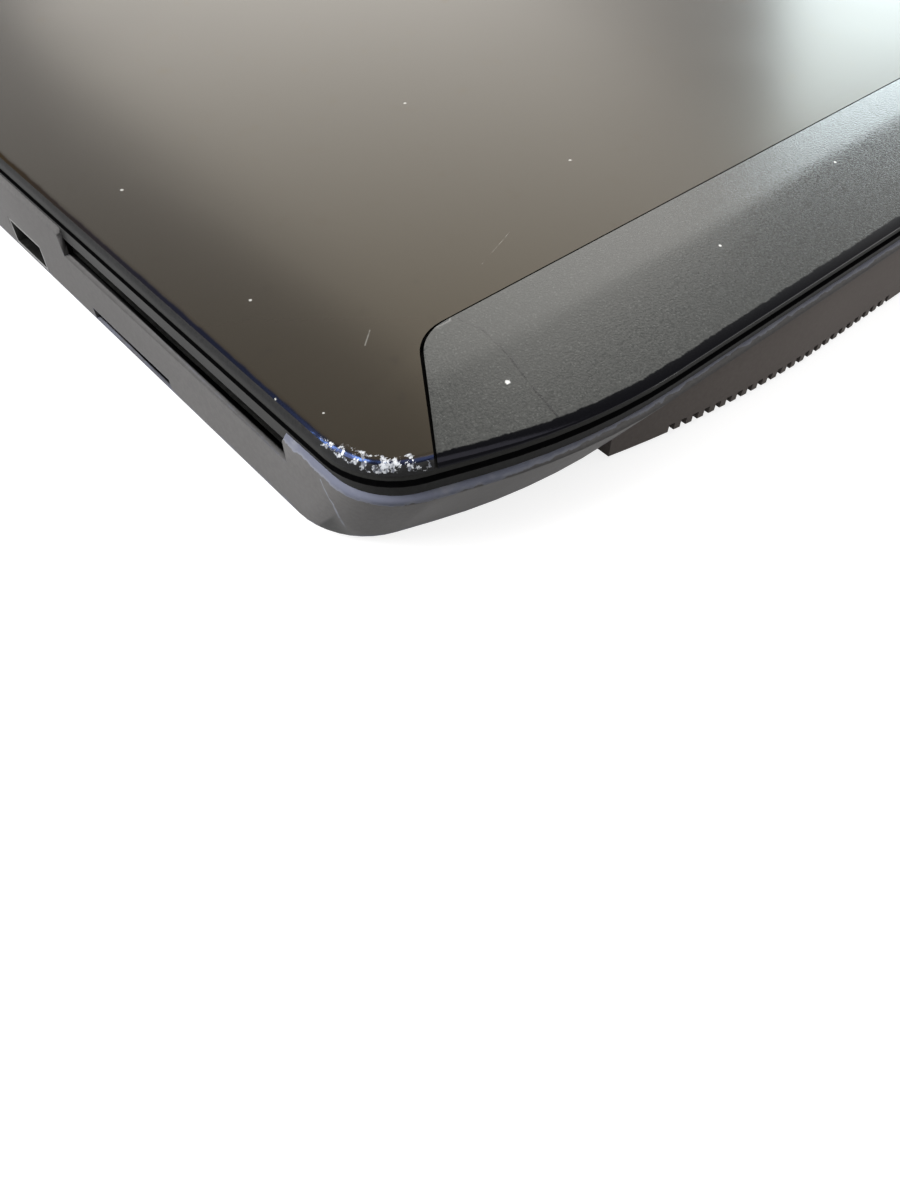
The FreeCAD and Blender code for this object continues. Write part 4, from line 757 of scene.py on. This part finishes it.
def buildChin():
    give = chinShape
    shape = wholeCopy("front_grille")
    for vert in shape.verts:
        if abs(vert.co.z / mm - give["slotTop"]) < give["reach"]:
            vert.co.z = give["notchTop"] * mm
    addPiece("chinCover", shape, "base", "front_grille", give["sharp"], plainFinish("chinPlastic"))


buildChin()
print("chin ready")

# key caps: rounded skirts and dished tops
capShape = {
    "corner": 1.7, "leastCorner": 0.2, "steps": 5, "skirt": 0.7, "taper": 0.55, "roll": 0.32,
    "rim": [(0.12, 0.10), (0.40, 0.0)],  # steps inwards and depths below the top
    "dish": 0.16, "dishRings": [(0.72, 0.45), (0.42, 0.8), (0.15, 1.0)],  # share of the rim and of the depth
    "spaceCrown": 0.2, "sharp": 50.0,
}


def roundRing(shape, low, high, inset, height):
    give = capShape
    ring = []
    r = max(give["leastCorner"] * mm, give["corner"] * mm - inset)
    centres = ((high.x - inset - r, high.y - inset - r, 0), (low.x + inset + r, high.y - inset - r, 90),
               (low.x + inset + r, low.y + inset + r, 180), (high.x - inset - r, low.y + inset + r, 270))
    for x, y, start in centres:
        for step in range(give["steps"] + 1):
            angle = math.radians(start + 90 * step / give["steps"])
            ring.append(shape.verts.new((x + r * math.cos(angle), y + r * math.sin(angle), height)))
    return ring


def bridge(shape, lower, upper):
    count = len(lower)
    for i in range(count):
        shape.faces.new((lower[i], lower[(i + 1) % count], upper[(i + 1) % count], upper[i]))


def buildCap(shape, low, high, crown):
    give = capShape
    levels = [(0.0, low.z), (0.0, low.z + give["skirt"] * mm), (give["taper"] * mm, high.z - give["roll"] * mm)]
    levels += [((give["taper"] + inset) * mm, high.z - depth * mm) for inset, depth in give["rim"]]
    rings = [roundRing(shape, low, high, inset, height) for inset, height in levels]
    rim = [vert.co.copy() for vert in rings[-1]]
    middle = (low + high) / 2
    for share, sink in give["dishRings"]:
        height = high.z - give["dish"] * sink * crown * mm
        rings.append([shape.verts.new((middle.x + (co.x - middle.x) * share, middle.y + (co.y - middle.y) * share,
                                       height)) for co in rim])
    for lower, upper in zip(rings, rings[1:]):
        bridge(shape, lower, upper)
    shape.faces.new(rings[-1])
    shape.faces.new(list(reversed(rings[0])))


keyBodies = {
    "function_keys": "function_row", "number_keys": "number_row", "upper_letter_keys": "upper_row",
    "home_letter_keys": "home_row", "lower_letter_keys": "lower_row", "modifier_keys": "modifier_row",
    "shift_keys": "shift_pair", "arrow_keys": "arrow_cluster", "backspace_key": "backspace", "enter_key": "enter",
    "space_bar": "space",
}
for nodeName, bodyName in keyBodies.items():
    caps = bmesh.new()
    for low, high in islandBoxes(nodeName):
        buildCap(caps, low, high, capShape["spaceCrown"] if nodeName == "space_bar" else 1.0)
    addPiece(nodeName.replace("_", "") + "Caps", caps, bodyName, nodeName, capShape["sharp"])
print("key caps built")

# cover screws with a cross recess in each head
screwShape = {
    "proud": 0.02, "bevel": 0.25, "headHeight": 1.0, "shank": 1.1, "sides": 32,
    "arm": 1.5, "slot": 0.42, "recess": 0.55, "floorShare": 0.7, "sharp": 35.0,
}


def buildScrew(shape, low, high):
    give = screwShape
    centre = (low + high) / 2
    radius = (high.x - low.x) / 2
    turns = [2 * math.pi * i / give["sides"] for i in range(give["sides"])]
    a, w = give["arm"] * mm, give["slot"] * mm
    plan = [(a, -w), (a, w), (w, w), (w, a), (-w, a), (-w, w), (-a, w), (-a, -w), (-w, -w), (-w, -a), (w, -a), (w, -w)]

    def ring(r, z):
        return [shape.verts.new((centre.x + r * math.cos(turn), centre.y - r * math.sin(turn), z)) for turn in turns]

    def cross(share, z):
        return [shape.verts.new((centre.x + x * share, centre.y + y * share, z)) for x, y in plan]

    face = low.z + give["proud"] * mm
    headTop = low.z + give["headHeight"] * mm
    shank = give["shank"] * mm
    rim = ring(radius - give["bevel"] * mm, face)
    rings = [rim, ring(radius, face + give["bevel"] * mm), ring(radius, headTop)]
    rings += [ring(shank, headTop), ring(shank, high.z)]
    for lower, upper in zip(rings, rings[1:]):
        bridge(shape, lower, upper)
    shape.faces.new(rings[-1])
    mouth = cross(1.0, face)
    floor = cross(give["floorShare"], face + give["recess"] * mm)
    edges = [shape.edges.new((mouth[i - 1], mouth[i])) for i in range(len(mouth))]
    edges += [edge for vert in rim for edge in vert.link_edges if edge.other_vert(vert) in rim]
    bmesh.ops.triangle_fill(shape, edges=list(set(edges)), use_beauty=True)
    inside = [cover for cover in shape.faces if all(vert in mouth for vert in cover.verts)]
    bmesh.ops.delete(shape, geom=inside, context='FACES_ONLY')
    bridge(shape, mouth, floor)
    shape.faces.new(floor)


screws = bmesh.new()
for low, high in islandBoxes("bottom_screws"):
    buildScrew(screws, low, high)
bmesh.ops.recalc_face_normals(screws, faces=screws.faces)
addPiece("coverScrews", screws, "base", "bottom_screws", screwShape["sharp"])
print("screws built")

# stage, light and camera, in metres
stageLook = {
    "floor": (0.36, 0.36, 0.36), "floorRoughness": 0.9, "floorReach": 4.0, "floorCells": 8, "floorHeight": -0.0002,
    "lift": 0.82, "world": 0.24,
}


def seenShare(tree):  # 1 for what the camera sees, straight, mirrored or through something clear
    path = put(tree, "LightPath")
    seen = calc(tree, 'MAXIMUM', path.outputs["Is Camera Ray"], path.outputs["Is Glossy Ray"])
    return calc(tree, 'MAXIMUM', seen, path.outputs["Is Transmission Ray"])


def makeFloor():
    look = stageLook
    material, tree, surface = startMaterial("floorPaper")
    surface.inputs["Base Color"].default_value = (*look["floor"], 1.0)
    surface.inputs["Roughness"].default_value = look["floorRoughness"]
    surface.inputs["Specular IOR Level"].default_value = 0.0
    surface.inputs["Emission Color"].default_value = (1, 1, 1, 1)
    feed(tree, surface.inputs["Emission Strength"], calc(tree, 'MULTIPLY', seenShare(tree), look["lift"]))
    shape = bmesh.new()
    cells = look["floorCells"]
    bmesh.ops.create_grid(shape, x_segments=cells, y_segments=cells, size=look["floorReach"])
    mesh = bpy.data.meshes.new("floorSheet")
    shape.to_mesh(mesh)
    shape.free()
    floor = bpy.data.objects.new("floorSheet", mesh)
    floor.location.z = look["floorHeight"]
    mesh.materials.append(material)
    scene.collection.objects.link(floor)


def makeWorld():
    world = bpy.data.worlds.new("studio")
    scene.world = world
    world.use_nodes = True
    tree = world.node_tree
    back = tree.nodes["Background"]
    back.inputs["Color"].default_value = (1, 1, 1, 1)
    dim = stageLook["world"]
    feed(tree, back.inputs["Strength"], calc(tree, 'MULTIPLY_ADD', seenShare(tree), 1.0 - dim, dim))


lamps = {
    "windowLamp": {
        "at": (1.437, 0.574, 0.316), "aim": (0.868, -0.173, -0.027), "along": (-0.0748, -0.3682, 0.9265),
        "size": (0.73, 0.52), "power": 7.9, "colour": (0.82, 0.96, 1.0)},
    "skyLamp": {
        "at": (0.751, 0.924, 0.690), "aim": (0.182, 0.177, 0.347), "along": (0.4361, -0.6278, 0.6444),
        "size": (1.22, 0.64), "power": 4.68, "colour": (1.0, 0.965, 0.90)},
    "sideLamp": {
        "at": (-0.95, 0.28, 0.98), "aim": (-0.1, 0.0, 0.01), "along": (0.0, 1.0, 0.0),
        "size": (0.8, 0.8), "power": 23.0, "colour": (1.0, 1.0, 1.0)},
    "topLamp": {
        "at": (0.1, -0.55, 1.6), "aim": (0.0, 0.0, 0.0), "along": (1.0, 0.0, 0.0),
        "size": (1.0, 1.0), "power": 11.0, "colour": (1.0, 0.98, 0.96)},
    "frontLamp": {
        "at": (0.60, -0.75, 0.25), "aim": (-0.05, -0.118, 0.012), "along": (1.0, 0.0, 0.0),
        "size": (0.5, 0.5), "power": 1.5, "colour": (1.0, 0.97, 0.94)},
}


def makeLamp(name, look):
    data = bpy.data.lights.new(name, 'AREA')
    data.shape = 'RECTANGLE'
    data.size, data.size_y = look["size"]
    data.energy = look["power"]
    data.color = look["colour"]
    lamp = bpy.data.objects.new(name, data)
    scene.collection.objects.link(lamp)
    back = (Vector(look["at"]) - Vector(look["aim"])).normalized()
    across = Vector(look["along"])
    across = (across - back * across.dot(back)).normalized()
    axes = Matrix((across, back.cross(across), back)).transposed().to_4x4()
    lamp.matrix_world = Matrix.Translation(look["at"]) @ axes


cameraLook = {
    "at": (-0.2137, -0.1731, 0.1044), "right": (0.75146, -0.65970, 0.00979), "up": (0.5234, 0.6051, 0.5999),
    "forward": (0.40171, 0.44571, -0.79999), "lens": 27.42, "sensor": 36.0, "nearest": 0.005,
}


def makeCamera():
    look = cameraLook
    data = bpy.data.cameras.new("photoCamera")
    data.lens = look["lens"]
    data.sensor_width = look["sensor"]
    data.clip_start = look["nearest"]
    camera = bpy.data.objects.new("photoCamera", data)
    scene.collection.objects.link(camera)
    axes = Matrix((look["right"], look["up"], [-v for v in look["forward"]])).transposed().to_4x4()
    camera.matrix_world = Matrix.Translation(look["at"]) @ axes
    scene.camera = camera


makeFloor()
makeWorld()
for lampName, lampLook in lamps.items():
    makeLamp(lampName, lampLook)
makeCamera()
print("stage ready")
